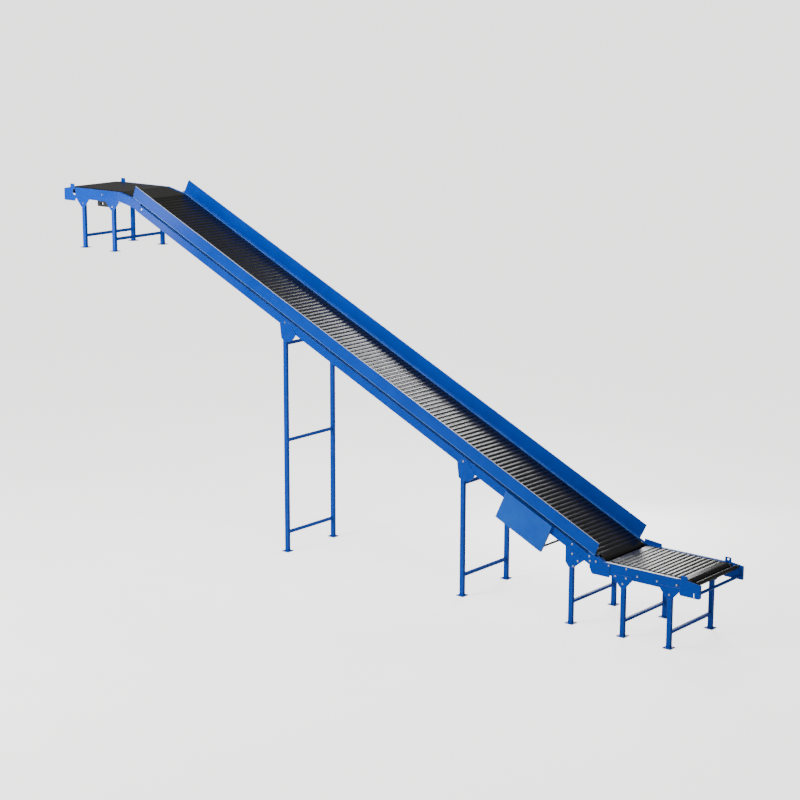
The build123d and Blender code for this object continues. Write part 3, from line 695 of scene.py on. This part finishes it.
@dataclass
class RibbedBelt:
    """A belt with a rounded rib over each roller of its carrying run and a crease between two ribs.

    A point is the middle line, moved outwards by the section's height and by the sag. The sag is
    -depth (1 - |cos(pi q)|), where q counts roller pitches from the first roller. It is only on the run,
    which takes in the points less than the nearness from its line.
    """

    name: str
    node: str
    wheels: list[Wheel]
    finish: Finish
    runs: list[Run]
    step: float = 0.0055
    width: float = 0.900
    corner: float = 0.0012
    nearness: float = 0.020
    lanes: int = 7

    def rise(self, loop: Loop) -> tuple[Array, Array]:
        """Work out how each point stands between its rollers.

        Args:
            loop: the middle line.

        Returns:
            The rise, from 0 between rollers to 1 over one and off the runs, and the sag in metres.
        """
        rise, sag = np.zeros(len(loop.points)), np.zeros(len(loop.points))
        for run in self.runs:
            place = (loop.points - run.start) @ run.along
            depth = np.abs((loop.points - run.start) @ np.array([run.along[1], -run.along[0]]))
            here = (place > 0) & (place < run.length) & (depth < self.nearness)
            wave = np.abs(np.cos(np.pi * place / run.pitch))
            rise = np.where(here, wave, rise)
            sag = np.where(here, -run.sag * (1 - wave), sag)
        return rise, sag

    def build(self) -> Object:
        """Carry the belt's section round its loop and mark the rise on it.

        Returns:
            The belt.
        """
        loop = Loop(self.wheels, BELT_GAP + BELT_THICKNESS / 2, self.step)
        rise, sag = self.rise(loop)
        half, top, c = self.width / 2, BELT_THICKNESS / 2, self.corner
        lanes = np.linspace(-half + c, half - c, self.lanes)
        across = np.concatenate([[-half], lanes, [half], [half], lanes[::-1], [-half]])
        over = np.concatenate([[top - c], np.full(self.lanes, top), [top - c]])
        high = np.concatenate([over, -over])
        out = (high[None, :] + sag[:, None])[..., None] * loop.outward[:, None, :]
        place = loop.points[:, None, :] + out
        rows, columns = place.shape[:2]
        points = ring_points(place[..., 0], across, place[..., 1])
        quads = quad_grid(rows, columns, True, True)
        thing = make_object(self.name, points.reshape(-1, 3), quads[:, ::-1])
        mesh = thing.data
        marks = mesh.attributes.new("rise", "FLOAT", "POINT")
        values = np.broadcast_to(rise[:, None], (rows, columns))
        marks.data.foreach_set("value", np.ascontiguousarray(values, np.float32).ravel())
        corners = np.empty(len(mesh.loops), np.int32)
        mesh.loops.foreach_get("vertex_index", corners)
        chart = np.stack([np.repeat(loop.travel, columns), np.tile(across, rows)], -1)
        layer = mesh.uv_layers.new(name="UVMap")
        layer.data.foreach_set("uv", np.ascontiguousarray(chart[corners], np.float32).ravel())
        return fitted(thing, self.finish.make(), "frame", self.node)


@dataclass
class Belts:
    """Both belts of the conveyor."""

    bed: BedLine = field(default_factory=BedLine)
    tail_s: float = 0.060
    clear: float = 0.078
    incline_sag: float = 0.0075
    nose_sag: float = 0.0020
    feeder_sag: float = 0.0090

    def incline(self) -> RibbedBelt:
        """The long belt: up the incline, over the nose and back through the drive.

        Returns:
            The belt, not built yet.
        """
        bed = self.bed
        first = bed.on_slope(self.tail_s + self.clear)
        low, high = bed.nose
        last = np.array([node_centre("head_pulley")[0] + self.clear, high[1]])
        runs = [
            Run.between(first, low - bed.incline_pitch * bed.along, bed.incline_pitch, self.incline_sag),
            Run.between(low, high, bed.incline_pitch, self.nose_sag),
            Run.between(high, last, bed.incline_pitch, self.nose_sag),
        ]
        drop = 2 * node_radius("tail_pulley") + BELT_GAP + BELT_THICKNESS + BELT_GAP + bed.roller_radius
        bends = [Wheel(tuple(bed.bend_centre(i, bed.roller_radius)), bed.roller_radius) for i in (0, 1)]
        idlers = [Wheel(tuple(bed.bend_centre(i, drop)), bed.roller_radius, -1) for i in (1, 0)]
        wheels = [
            Wheel.of("tail_pulley"),
            *bends,
            Wheel.of("head_pulley"),
            *idlers,
            Wheel.of("snub_roller_upper", -1),
            Wheel.of("drive_pulley"),
            Wheel.of("snub_roller_middle", -1),
            Wheel.of("take_up_pulley"),
            Wheel.of("snub_roller_lower", -1),
        ]
        return RibbedBelt("incline_belt_cover", "incline_belt", wheels, INCLINE_RUBBER, runs)

    def feeder(self) -> RibbedBelt:
        """The short belt of the level feeder.

        Returns:
            The belt, not built yet.
        """
        bed = self.bed
        height = bed.feeder_height
        first = np.array([node_centre("feeder_tail_pulley")[0] - self.clear, height])
        last = np.array([node_centre("feeder_head_pulley")[0] + self.clear, height])
        wheels = [Wheel.of("feeder_tail_pulley"), Wheel.of("feeder_head_pulley")]
        runs = [Run.between(first, last, bed.feeder_pitch, self.feeder_sag)]
        return RibbedBelt("feeder_belt_cover", "feeder_belt", wheels, FEEDER_RUBBER, runs)

    def build(self) -> list[Object]:
        """Build both belts."""
        return [self.incline().build(), self.feeder().build()]


# ---- Rollers and drive ----
@dataclass
class EndRoller:
    """The loose roller at the infeed end: a tube with pressed bearing cups and a shouldered axle."""

    node: str = "end_roller"
    face: float = 0.940
    cup_depth: float = 0.006
    axle_radius: float = 0.008
    segments: int = 64

    def build(self) -> Object:
        """Turn the roller's profile: axle, cup, rolled rim, tube and the same again.

        Returns:
            The roller.
        """
        low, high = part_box(self.node)
        centre, radius, half = node_centre(self.node), node_radius(self.node), self.face / 2
        tip = (high.y - low.y) / 2
        side = [
            (tip, self.axle_radius - 0.001),
            (tip - 0.001, self.axle_radius),
            (half - self.cup_depth, self.axle_radius),
            (half - self.cup_depth, radius * 0.55),
            (half - 0.002, radius * 0.62),
            (half - 0.002, radius * 0.86),
            (half, radius * 0.90),
            (half, radius - 0.0015),
            (half - 0.0015, radius),
        ]
        profile = np.array([(-y, r) for y, r in side] + [(y, r) for y, r in side[::-1]])
        points, quads = lathe_y(profile, centre, self.segments)
        thing = welded(make_object("end_roller_tube", points, quads, 30.0))
        return fitted(thing, ROLLER_SLEEVE.make(), "end_roller", self.node)


@dataclass
class FinnedMotor:
    """A fan-cooled motor: a finned barrel between end bells, a fan cowl and a terminal box."""

    node: str = "motor"
    shaft_node: str = "output_shaft"
    radius: float = 0.070
    fins: int = 28
    fin_depth: float = 0.007
    cowl_length: float = 0.060
    box_half: Point = (0.033, 0.020)
    box_lift: float = 0.008
    box_start: float = 0.060
    box_length: float = 0.110
    box_corner: float = 0.25
    box_points: int = 40
    cowl_points: int = 48

    def barrel(self, centre: Point, start: float, end: float) -> Mesh:
        """Shape the barrel.

        The radius is the barrel's, less the fin depth times (1 + cos(fins times the angle)) / 2, and the fins
        fade out towards both ends.

        Args:
            centre: x and z of the axis.
            start: lowest y of the motor.
            end: highest y of the motor.

        Returns:
            Points and quads of the closed surface.
        """
        t = np.array([0.0, 0.004, 0.012, 0.045, 0.050, 0.056, 0.5, 0.944, 0.950, 0.955, 0.985, 1.0])
        base = np.array([0.60, 0.90, 0.94, 0.94, 0.90, 1.0, 1.0, 1.0, 0.90, 0.94, 0.94, 0.88]) * self.radius
        fin = np.array([0, 0, 0, 0, 0, 1.0, 1.0, 1.0, 0, 0, 0, 0]) * self.fin_depth
        y = start + t * (end - self.cowl_length - start)
        angle = np.linspace(0, 2 * np.pi, self.fins * 8, endpoint=False)
        wave = (1 + np.cos(self.fins * angle)) / 2
        r = base[:, None] - fin[:, None] * wave
        x, z = centre[0] + r * np.cos(angle), centre[1] + r * np.sin(angle)
        return capped_grid(ring_points(x, y[:, None], z))

    def cowl(self, centre: Point, end: float) -> Mesh:
        """Turn the fan cowl, a pressed cup with rings of air slots drawn as grooves in its end.

        Args:
            centre: x and z of the axis.
            end: highest y of the motor.

        Returns:
            Points and quads of the closed surface.
        """
        y0, r = end - self.cowl_length, self.radius
        grooves = [(end - (0.003 if i % 2 else 0.0), r * (0.86 - 0.075 * i)) for i in range(9)]
        skirt = [(y0, r * 0.93), (y0, r * 0.96), (end - 0.012, r * 0.96), (end - 0.003, r * 0.90)]
        return lathe_y(np.array(skirt + grooves), centre, self.cowl_points)

    def build(self) -> Object:
        """Join the barrel and the fan cowl.

        Returns:
            The motor without its terminal box.
        """
        centre = node_centre(self.shaft_node)
        low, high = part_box(self.node)
        parts = [self.barrel(centre, low.y, high.y), self.cowl(centre, high.y)]
        thing = make_object("motor_housing", *join_grids(parts), 25.0)
        return fitted(welded(thing), ENAMELLED_IRON.make(), "frame", self.node)

    def build_box(self, bed: BedLine) -> Object:
        """Build the terminal box on top of the barrel, a block whose corners are rounded by a superellipse.

        The section is x = a |cos u| ^ corner, z = b |sin u| ^ corner with the signs of cos u and sin u. It is
        carried along Y and drawn in at both ends.

        Args:
            bed: the bed line, whose slope the box lies along.

        Returns:
            The box.
        """
        centre = np.array(node_centre(self.shaft_node))
        low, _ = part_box(self.node)
        middle = centre + bed.up * (self.radius + self.box_lift)
        u = np.linspace(0, 2 * np.pi, self.box_points, endpoint=False)
        a, b = (half * wave for half, wave in zip(self.box_half, softened(u, self.box_corner)))
        rim = np.array([0.0, 0.002, 0.006])
        y = low.y + self.box_start + np.concatenate([rim, self.box_length - rim[::-1]])
        scale = np.array([0.88, 0.95, 1.0, 1.0, 0.95, 0.88])[:, None]
        flat = middle + (scale * a)[..., None] * bed.along + (scale * b)[..., None] * bed.up
        rings = ring_points(flat[..., 0], y[:, None], flat[..., 1])
        thing = welded(make_object("motor_terminal_box", *capped_grid(rings), 30.0))
        return fitted(thing, BLACK_ENAMEL.make(), "frame")


@dataclass
class RollerChain:
    """A roller chain round two sprockets, with its waisted side plates, rollers and riveted pins.

    The waist is a share of the plate's height, and plate, pin and barrel are shares of the chain's height.
    """

    name: str
    node: str
    wheels: list[Wheel]
    offset: float
    pitch: float
    plane: float
    width: float
    height: float
    thick: float = 0.0012
    step: float = 0.004
    waist: float = 0.72
    plate_share: float = 0.95
    pin_share: float = 0.23
    barrel_share: float = 0.33
    pin_points: int = 8
    barrel_points: int = 10

    def plate(self, inset: float) -> Mesh:
        """Outline one side plate: two round ends with a waist between them.

        Each end is a half circle about its pin, and straight sides run in from both ends to the waist.

        Args:
            inset: how far the plate stands from the chain's middle plane.

        Returns:
            Points and quads of the plate, along x with its height along z.
        """
        half = self.height / 2 * self.plate_share
        a = np.linspace(-np.pi / 2, np.pi / 2, 7)
        ends = np.stack([self.pitch / 2 + half * np.cos(a), half * np.sin(a)], -1)
        waist = np.array([[0.0, half * self.waist]])
        ring = np.concatenate([ends, waist, -ends, -waist])
        layers = inset + np.array([-0.5, 0.5]) * self.thick
        return capped_grid(ring_points(ring[:, 0], layers[:, None], ring[:, 1]))

    def build(self, material: Material) -> Object:
        """Set the links along the loop, every other one with its plates further apart.

        Args:
            material: the chain's material.

        Returns:
            The chain.
        """
        loop = Loop(self.wheels, self.offset, self.step)
        whole = loop.travel[-1] + float(np.hypot(*(loop.points[0] - loop.points[-1])))
        count = 2 * round(whole / self.pitch / 2)
        s = (np.arange(count) + 0.5) * whole / count
        x, z = (np.interp(s, loop.travel, loop.points[:, i]) for i in (0, 1))
        nx, nz = (np.interp(s, loop.travel, loop.outward[:, i]) for i in (0, 1))
        norm = np.hypot(nx, nz)
        nx, nz = nx / norm, nz / norm
        links = []
        half, place = self.width / 2, (self.pitch / 2, 0.0)
        r = self.height * self.pin_share
        pin_profile = np.array([(-half, self.thick), (-half, r), (half, r), (half, self.thick)])
        pin = lathe_y(pin_profile, place, self.pin_points)
        # How many plate thicknesses the barrel's ends and both kinds of plate lie in from the pins' ends.
        barrel_half, outer, inner = (half - share * self.thick for share in (2.8, 1.17, 2.33))
        r = self.height * self.barrel_share
        barrel = lathe_y(np.array([(-barrel_half, r), (barrel_half, r)]), place, self.barrel_points)
        for parity, inset in ((0, outer), (1, inner)):
            pieces = [self.plate(-inset), self.plate(inset), barrel] + ([pin] if parity == 0 else [])
            points, quads = join_grids(pieces)
            mine = np.arange(parity, count, 2)
            tx, tz = -nz[mine], nx[mine]
            px = x[mine, None] + points[:, 0] * tx[:, None] + points[:, 2] * nx[mine, None]
            pz = z[mine, None] + points[:, 0] * tz[:, None] + points[:, 2] * nz[mine, None]
            py = self.plane + points[:, 1]
            shift = (np.arange(len(mine)) * len(points))[:, None, None]
            links.append((ring_points(px, py, pz).reshape(-1, 3), (quads[None] + shift).reshape(-1, 4)))
        thing = welded(make_object(self.name, *join_grids(links), 40.0))
        return fitted(thing, material, "frame", self.node)


@dataclass
class EdgeStrip:
    """A thin strip with rounded edges that lies along a straight edge of the steelwork.

    Its section is a superellipse, |y / a| ^ 4 + |p / b| ^ 4 = 1, carried from one end to the other.

    Attributes:
        name: the object's name.
        across: the strip's lowest and highest y.
        raised: its lowest and highest distance square above the line between its ends.
        ends: x and z of its two ends.
        finish: its finish.
        slot: the record's material slot; not used.
        pieces: how many lengths it is divided into.
        points: how many points go round the section.
        corner: the power that squares the section's corners.
    """

    name: str
    across: Point
    raised: Point
    ends: tuple[Array, Array]
    finish: Finish
    slot: str = "blue_paint"
    pieces: int = 60
    points: int = 20
    corner: float = 0.5

    def build(self) -> Object:
        """Carry the section along the edge.

        Returns:
            The strip.
        """
        first, last = self.ends
        along = (last - first) / np.hypot(*(last - first))
        up = np.array([-along[1], along[0]]) * (-1 if along[0] < 0 else 1)
        bulge = softened(np.linspace(0, 2 * np.pi, self.points, endpoint=False), self.corner)
        y = np.mean(self.across) + np.ptp(self.across) / 2 * bulge[0]
        p = np.mean(self.raised) + np.ptp(self.raised) / 2 * bulge[1]
        t = np.linspace(0, 1, self.pieces)[:, None, None]
        flat = first + t * (last - first) + p[None, :, None] * up
        rings = ring_points(flat[..., 0], y, flat[..., 1])
        thing = welded(make_object(self.name, *capped_grid(rings), 50.0))
        return fitted(thing, self.finish.make(), "frame")


@dataclass
class Trim:
    """The painted highlight strips along lips and edges, the dark strips of painted shade under the guards,
    and the dark blanks of painted shade behind the rail slots.
    """

    bed: BedLine
    guard: Point = (0.153, 0.124)
    shade_strip: Point = (0.116, 0.294)
    slot_back: float = 0.328
    slot_drop: float = 0.087
    slot_reach: float = 0.060
    rail_highlight_span: Point = (0.030, 0.325)

    def slope(self, margins: Point) -> tuple[Array, Array]:
        """Both ends of a strip on the incline, that far from its foot and its top."""
        return self.bed.on_slope(margins[0]), self.bed.on_slope(self.bed.incline_length - margins[1])

    def build(self) -> list[Object]:
        """Build every strip.

        Returns:
            The strips.
        """
        bed = self.bed
        guard, shade_strip = self.slope(self.guard), self.slope(self.shade_strip)
        slot = np.array([bed.half_length - self.slot_back, bed.feeder_height - self.slot_drop])
        reach = np.array([self.slot_reach, 0.0])
        rail = (bed.foot + (self.rail_highlight_span[0], 0.0), np.array([bed.half_length - self.rail_highlight_span[1], bed.feeder_height]))
        strips = [
            # Painted highlights: white and pale blue strips along the guard lips, the guard feet and the
            # feeder rail's top edge.
            EdgeStrip("near_guard_lip", (-0.5660, -0.5540), (0.1948, 0.1957), guard, WHITE_LIP_HIGHLIGHT),
            EdgeStrip("far_guard_lip", (0.5540, 0.5660), (0.1948, 0.1957), guard, BLUE_LIP_HIGHLIGHT),
            EdgeStrip("near_guard_foot_edge", (-0.5440, -0.5425), (0.0005, 0.0080), guard, BLUE_LIP_HIGHLIGHT),
            EdgeStrip("far_guard_foot_face", (0.4925, 0.5100), (0.0028, 0.0036), guard, BLUE_LIP_HIGHLIGHT),
            # Dark navy strips of painted shade in the groove under each guard.
            EdgeStrip("near_groove_painted_shade", (-0.5056, -0.5034), (-0.0410, -0.0020), shade_strip, GROOVE_SHADE_STRIP),
            EdgeStrip("far_groove_painted_shade", (0.5034, 0.5056), (-0.0410, -0.0020), shade_strip, GROOVE_SHADE_STRIP),
            EdgeStrip("near_feeder_rail_highlight", (-0.5275, -0.4870), (-0.0002, 0.0006), rail, WHITE_LIP_HIGHLIGHT),
        ]
        # Dark plates behind the rail slots: painted shade that darkens the slots' openings.
        for side, y in (("near", (-0.5240, -0.5220)), ("far", (0.5220, 0.5240))):
            ends = (slot - reach, slot + reach)
            name = f"{side}_slot_shade_blank"
            strips.append(EdgeStrip(name, y, (-0.020, 0.020), ends, OILED_STEEL, "dark_steel", 12))
        return [strip.build() for strip in strips]


# ---- Welds ----
@dataclass
class WeldBeads:
    """Fillet welds round every leg where it meets its base plate, and round the ends of the cross bars.

    A bead is a small circle carried round a rounded rectangle. Its radius swells as
    1 + swell cos(2 pi s / ripple).
    """

    radius: float = 0.0042
    ripple: float = 0.009
    swell: float = 0.18
    corner: float = 0.28
    steps: int = 120
    points: int = 8
    supports: int = 7
    leg_centre: float = 0.504
    leg: Point = (0.060, 0.050)
    bar: float = 0.040
    plate: float = 0.008

    def bead(self, centre: Array, a: Array, b: Array) -> Mesh:
        """Carry a rippled bead round a rectangle.

        Args:
            centre: the rectangle's middle.
            a: half of one side, as a vector.
            b: half of the other side, as a vector.

        Returns:
            Points and quads of the bead.
        """
        ca, cb = softened(np.linspace(0, 2 * np.pi, self.steps, endpoint=False), self.corner)
        path = centre + ca[:, None] * a + cb[:, None] * b
        ahead = np.roll(path, -1, 0) - np.roll(path, 1, 0)
        ahead /= np.linalg.norm(ahead, axis=1, keepdims=True)
        lift = np.cross(a, b)
        lift = np.broadcast_to(lift / np.linalg.norm(lift), path.shape)
        out = np.cross(ahead, lift)
        travel = np.cumsum(np.linalg.norm(path - np.roll(path, 1, 0), axis=1))
        r = self.radius * (1 + self.swell * np.cos(2 * np.pi * travel / self.ripple))
        v = np.linspace(0, 2 * np.pi, self.points, endpoint=False)
        ring = np.cos(v)[None, :, None] * out[:, None] + np.sin(v)[None, :, None] * lift[:, None]
        points = path[:, None] + r[:, None, None] * ring
        return points.reshape(-1, 3), quad_grid(self.steps, self.points, True, True)

    def build(self, bar_heights: dict[int, list[float]]) -> Object:
        """Place every bead from the boxes of the supports.

        Args:
            bar_heights: heights of the cross bars of each support, above its base plates.

        Returns:
            One object with all the beads.
        """
        beads = []
        x_half = np.array([self.leg[0] / 2, 0, 0])
        y_half = np.array([0, self.leg[1] / 2, 0])
        for number in range(1, self.supports + 1):
            low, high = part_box(f"support_{number}")
            x = (low.x + high.x) / 2
            for side in (-1, 1):
                foot = np.array([x, side * self.leg_centre, low.z + self.plate])
                beads.append(self.bead(foot, x_half, y_half))
                for height in bar_heights[number]:
                    y = side * (self.leg_centre - self.leg[1] / 2)
                    end = np.array([x, y, low.z + height])
                    half = self.bar / 2
                    beads.append(self.bead(end, np.array([half, 0, 0]), np.array([0, 0, half])))
        thing = welded(make_object("frame_weld_beads", *join_grids(beads), 60.0))
        return fitted(thing, PAINTED_WELD.make(), "frame")


# ---- Finishes of the CAD nodes ----
@dataclass
class Fabrication:
    """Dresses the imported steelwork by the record's material slots."""

    finishes: dict[str, Finish] = field(
        default_factory=lambda: {
            "blue_paint": BLUE_POWDER_COAT,
            "black_belt": INCLINE_RUBBER,
            "zinc": ZINC_PLATE,
            "roller_steel": TURNED_STEEL,
            "motor_grey": ENAMELLED_IRON,
            "dark_steel": OILED_STEEL,
            "black_box": BLACK_ENAMEL,
        }
    )

    def build(self) -> dict[str, Material]:
        """Give each CAD node the material of its slot, and the hood a paler copy of the blue that paints its
        highlight.

        Returns:
            The materials by slot.
        """
        materials = {slot: finish.make() for slot, finish in self.finishes.items()}
        slots = {entry["node"]: entry["material_slot"] for entry in frame["record"]["subparts"]}
        for node, thing in frame["nodes"].items():
            thing.data.materials.clear()
            thing.data.materials.append(materials[slots[node]])
        # The hood's paler blue is a painted highlight.
        frame["nodes"]["chain_guard"].data.materials[0] = COVER_COAT_PALE_HIGHLIGHT.make()
        return materials


# ---- Studio ----
@dataclass
class Studio:
    """A pale floor, a white surround, soft lights and the camera."""

    camera_place: Place = (18.122, -21.222, 8.554)
    azimuth_deg: float = 39.641
    elevation_deg: float = 12.516
    roll_deg: float = 0.139
    lens_mm: float = 90.06
    sensor_mm: float = 36.0
    clip_end: float = 2000.0
    surround: float = 0.19
    backdrop: float = 2.3
    floor_reach: float = 900.0
    floor_drop: float = 0.0005
    floor_lines: int = 25

    def camera(self) -> None:
        """Stand the camera at its place, looking down its azimuth and elevation."""
        a, e, r = (math.radians(d) for d in (self.azimuth_deg, self.elevation_deg, self.roll_deg))
        back = Vector((math.sin(a) * math.cos(e), -math.cos(a) * math.cos(e), math.sin(e)))
        right = Vector((math.cos(a), math.sin(a), 0))
        up = back.cross(right)
        turn = Matrix((right, up, back)).transposed() @ Matrix.Rotation(r, 3, "Z")
        data = bpy.data.cameras.new("studio_camera")
        data.lens, data.sensor_width, data.clip_end = self.lens_mm, self.sensor_mm, self.clip_end
        thing = bpy.data.objects.new("studio_camera", data)
        thing.matrix_world = Matrix.Translation(self.camera_place) @ turn.to_4x4()
        bpy.context.scene.collection.objects.link(thing)
        bpy.context.scene.camera = thing

    def floor(self) -> None:
        """Lay a flat pale floor, whose lines stand closer together near the conveyor."""
        reach = self.floor_reach * np.linspace(-1, 1, self.floor_lines) ** 3
        x, y = np.meshgrid(reach, reach, indexing="ij")
        points = np.stack([x, y, np.full_like(x, -self.floor_drop)], -1).reshape(-1, 3)
        quads = quad_grid(self.floor_lines, self.floor_lines, False, False)
        thing = make_object("studio_floor", points, quads)
        material = PALE_FLOOR.make()
        tree = material.node_tree
        glow = add_node(tree, "Emission", values={"Color": linear("#FFFFFE")})
        ray = add_node(tree, "LightPath").outputs["Is Camera Ray"]
        lift = add_node(tree, "Math", {"operation": "MULTIPLY"}, {1: self.backdrop - self.surround}, {0: ray})
        tree.links.new(lift.outputs[0], glow.inputs["Strength"])
        shader = tree.nodes["Principled BSDF"].outputs[0]
        both = add_node(tree, "AddShader", links={0: shader, 1: glow.outputs[0]})
        tree.links.new(both.outputs[0], tree.nodes["Material Output"].inputs["Surface"])
        thing.data.materials.append(material)

    def light(self, name: str, place: Place, aim: Place, size: float, power: float) -> None:
        """Hang a square softbox.

        Args:
            name: the light's name.
            place: where it hangs.
            aim: the point it faces.
            size: the length of its side.
            power: its output in watts.
        """
        data = bpy.data.lights.new(name, "AREA")
        data.shape, data.size, data.energy = "SQUARE", size, power
        thing = bpy.data.objects.new(name, data)
        facing = (Vector(aim) - Vector(place)).to_track_quat("-Z", "Y")
        thing.matrix_world = Matrix.Translation(place) @ facing.to_matrix().to_4x4()
        thing.visible_camera = False
        bpy.context.scene.collection.objects.link(thing)

    def build(self) -> None:
        """Set up the camera, floor, surround and lights."""
        self.camera()
        self.floor()
        world = bpy.data.worlds.new("studio_surround")
        world.use_nodes = True
        tree = world.node_tree
        glow = tree.nodes["Background"]
        glow.inputs["Color"].default_value = linear("#FFFFFF")
        glow.inputs["Strength"].default_value = self.surround
        seen = add_node(tree, "Background", values={"Color": linear("#FFFFFE"), "Strength": self.backdrop})
        ray = add_node(tree, "LightPath").outputs["Is Camera Ray"]
        both = add_node(tree, "MixShader", links={0: ray, 1: glow.outputs[0], 2: seen.outputs[0]})
        tree.links.new(both.outputs[0], tree.nodes["World Output"].inputs["Surface"])
        bpy.context.scene.world = world
        self.light("key_softbox", (-5.0, -12.0, 8.0), (0.5, 0.0, 2.3), 4.0, 1520.0)
        self.light("overhead_softbox", (0.5, -1.5, 11.0), (0.5, 0.0, 2.0), 5.0, 380.0)
        self.light("belt_softbox", (-0.84, 5.86, 7.40), (1.0, -0.2, 2.5), 1.9, 250.0)
        self.light("feeder_softbox", (1.30, 4.60, 2.50), (5.0, 0.0, 0.95), 2.2, 115.0)
        self.light("nose_softbox", (-5.75, -2.42, 4.40), (-4.2, -0.53, 4.95), 0.8, 32.0)


# How far the highest cross bar of supports 4 and 5 is under their tops.
TOP_BAR_DROP = 0.190


def lay_supports() -> dict[int, list[float]]:
    """Work out the cross bar heights of each support above its floor.

    Returns:
        The heights by support number.
    """
    heights = {1: [0.205], 2: [0.205], 3: [0.295], 4: [0.290], 5: [0.290, 1.675], 6: [0.186], 7: [0.186]}
    for number in (4, 5):
        low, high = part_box(f"support_{number}")
        heights[number].append(high.z - low.z - TOP_BAR_DROP)
    return heights


def main() -> None:
    """Build the conveyor's looks and its studio."""
    logging.basicConfig(level=logging.INFO, format="%(message)s")
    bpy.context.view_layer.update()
    bed = BedLine()
    Studio().build()
    materials = Fabrication().build()
    LOG.info("dressed %d CAD nodes", len(frame["nodes"]))
    belts = Belts(bed).build()
    motor = FinnedMotor()
    transfer = RollerChain(
        name="transfer_chain_links",
        node="transfer_chain",
        wheels=[Wheel.of("feeder_sprocket", radius=0.034), Wheel.of("tail_sprocket", radius=0.034)],
        offset=0.007,
        pitch=0.0127,
        plane=node_plane("tail_sprocket"),
        width=0.0078,
        height=0.0060,
        thick=0.0008,
    )
    chain = RollerChain(
        name="drive_chain_links",
        node="drive_chain",
        wheels=[Wheel.of("driven_sprocket", radius=0.095), Wheel.of("motor_sprocket", radius=0.048)],
        offset=0.011,
        pitch=0.0254,
        plane=node_plane("driven_sprocket"),
        width=0.012,
        height=0.0095,
    )
    pieces = [
        *belts,
        EndRoller().build(),
        motor.build(),
        motor.build_box(bed),
        chain.build(materials["dark_steel"]),
        transfer.build(materials["dark_steel"]),
        WeldBeads().build(lay_supports()),
        *Trim(bed).build(),
    ]
    for piece in pieces:
        LOG.info("built %s with %d faces", piece.name, len(piece.data.polygons))


if __name__ == "__main__":
    main()
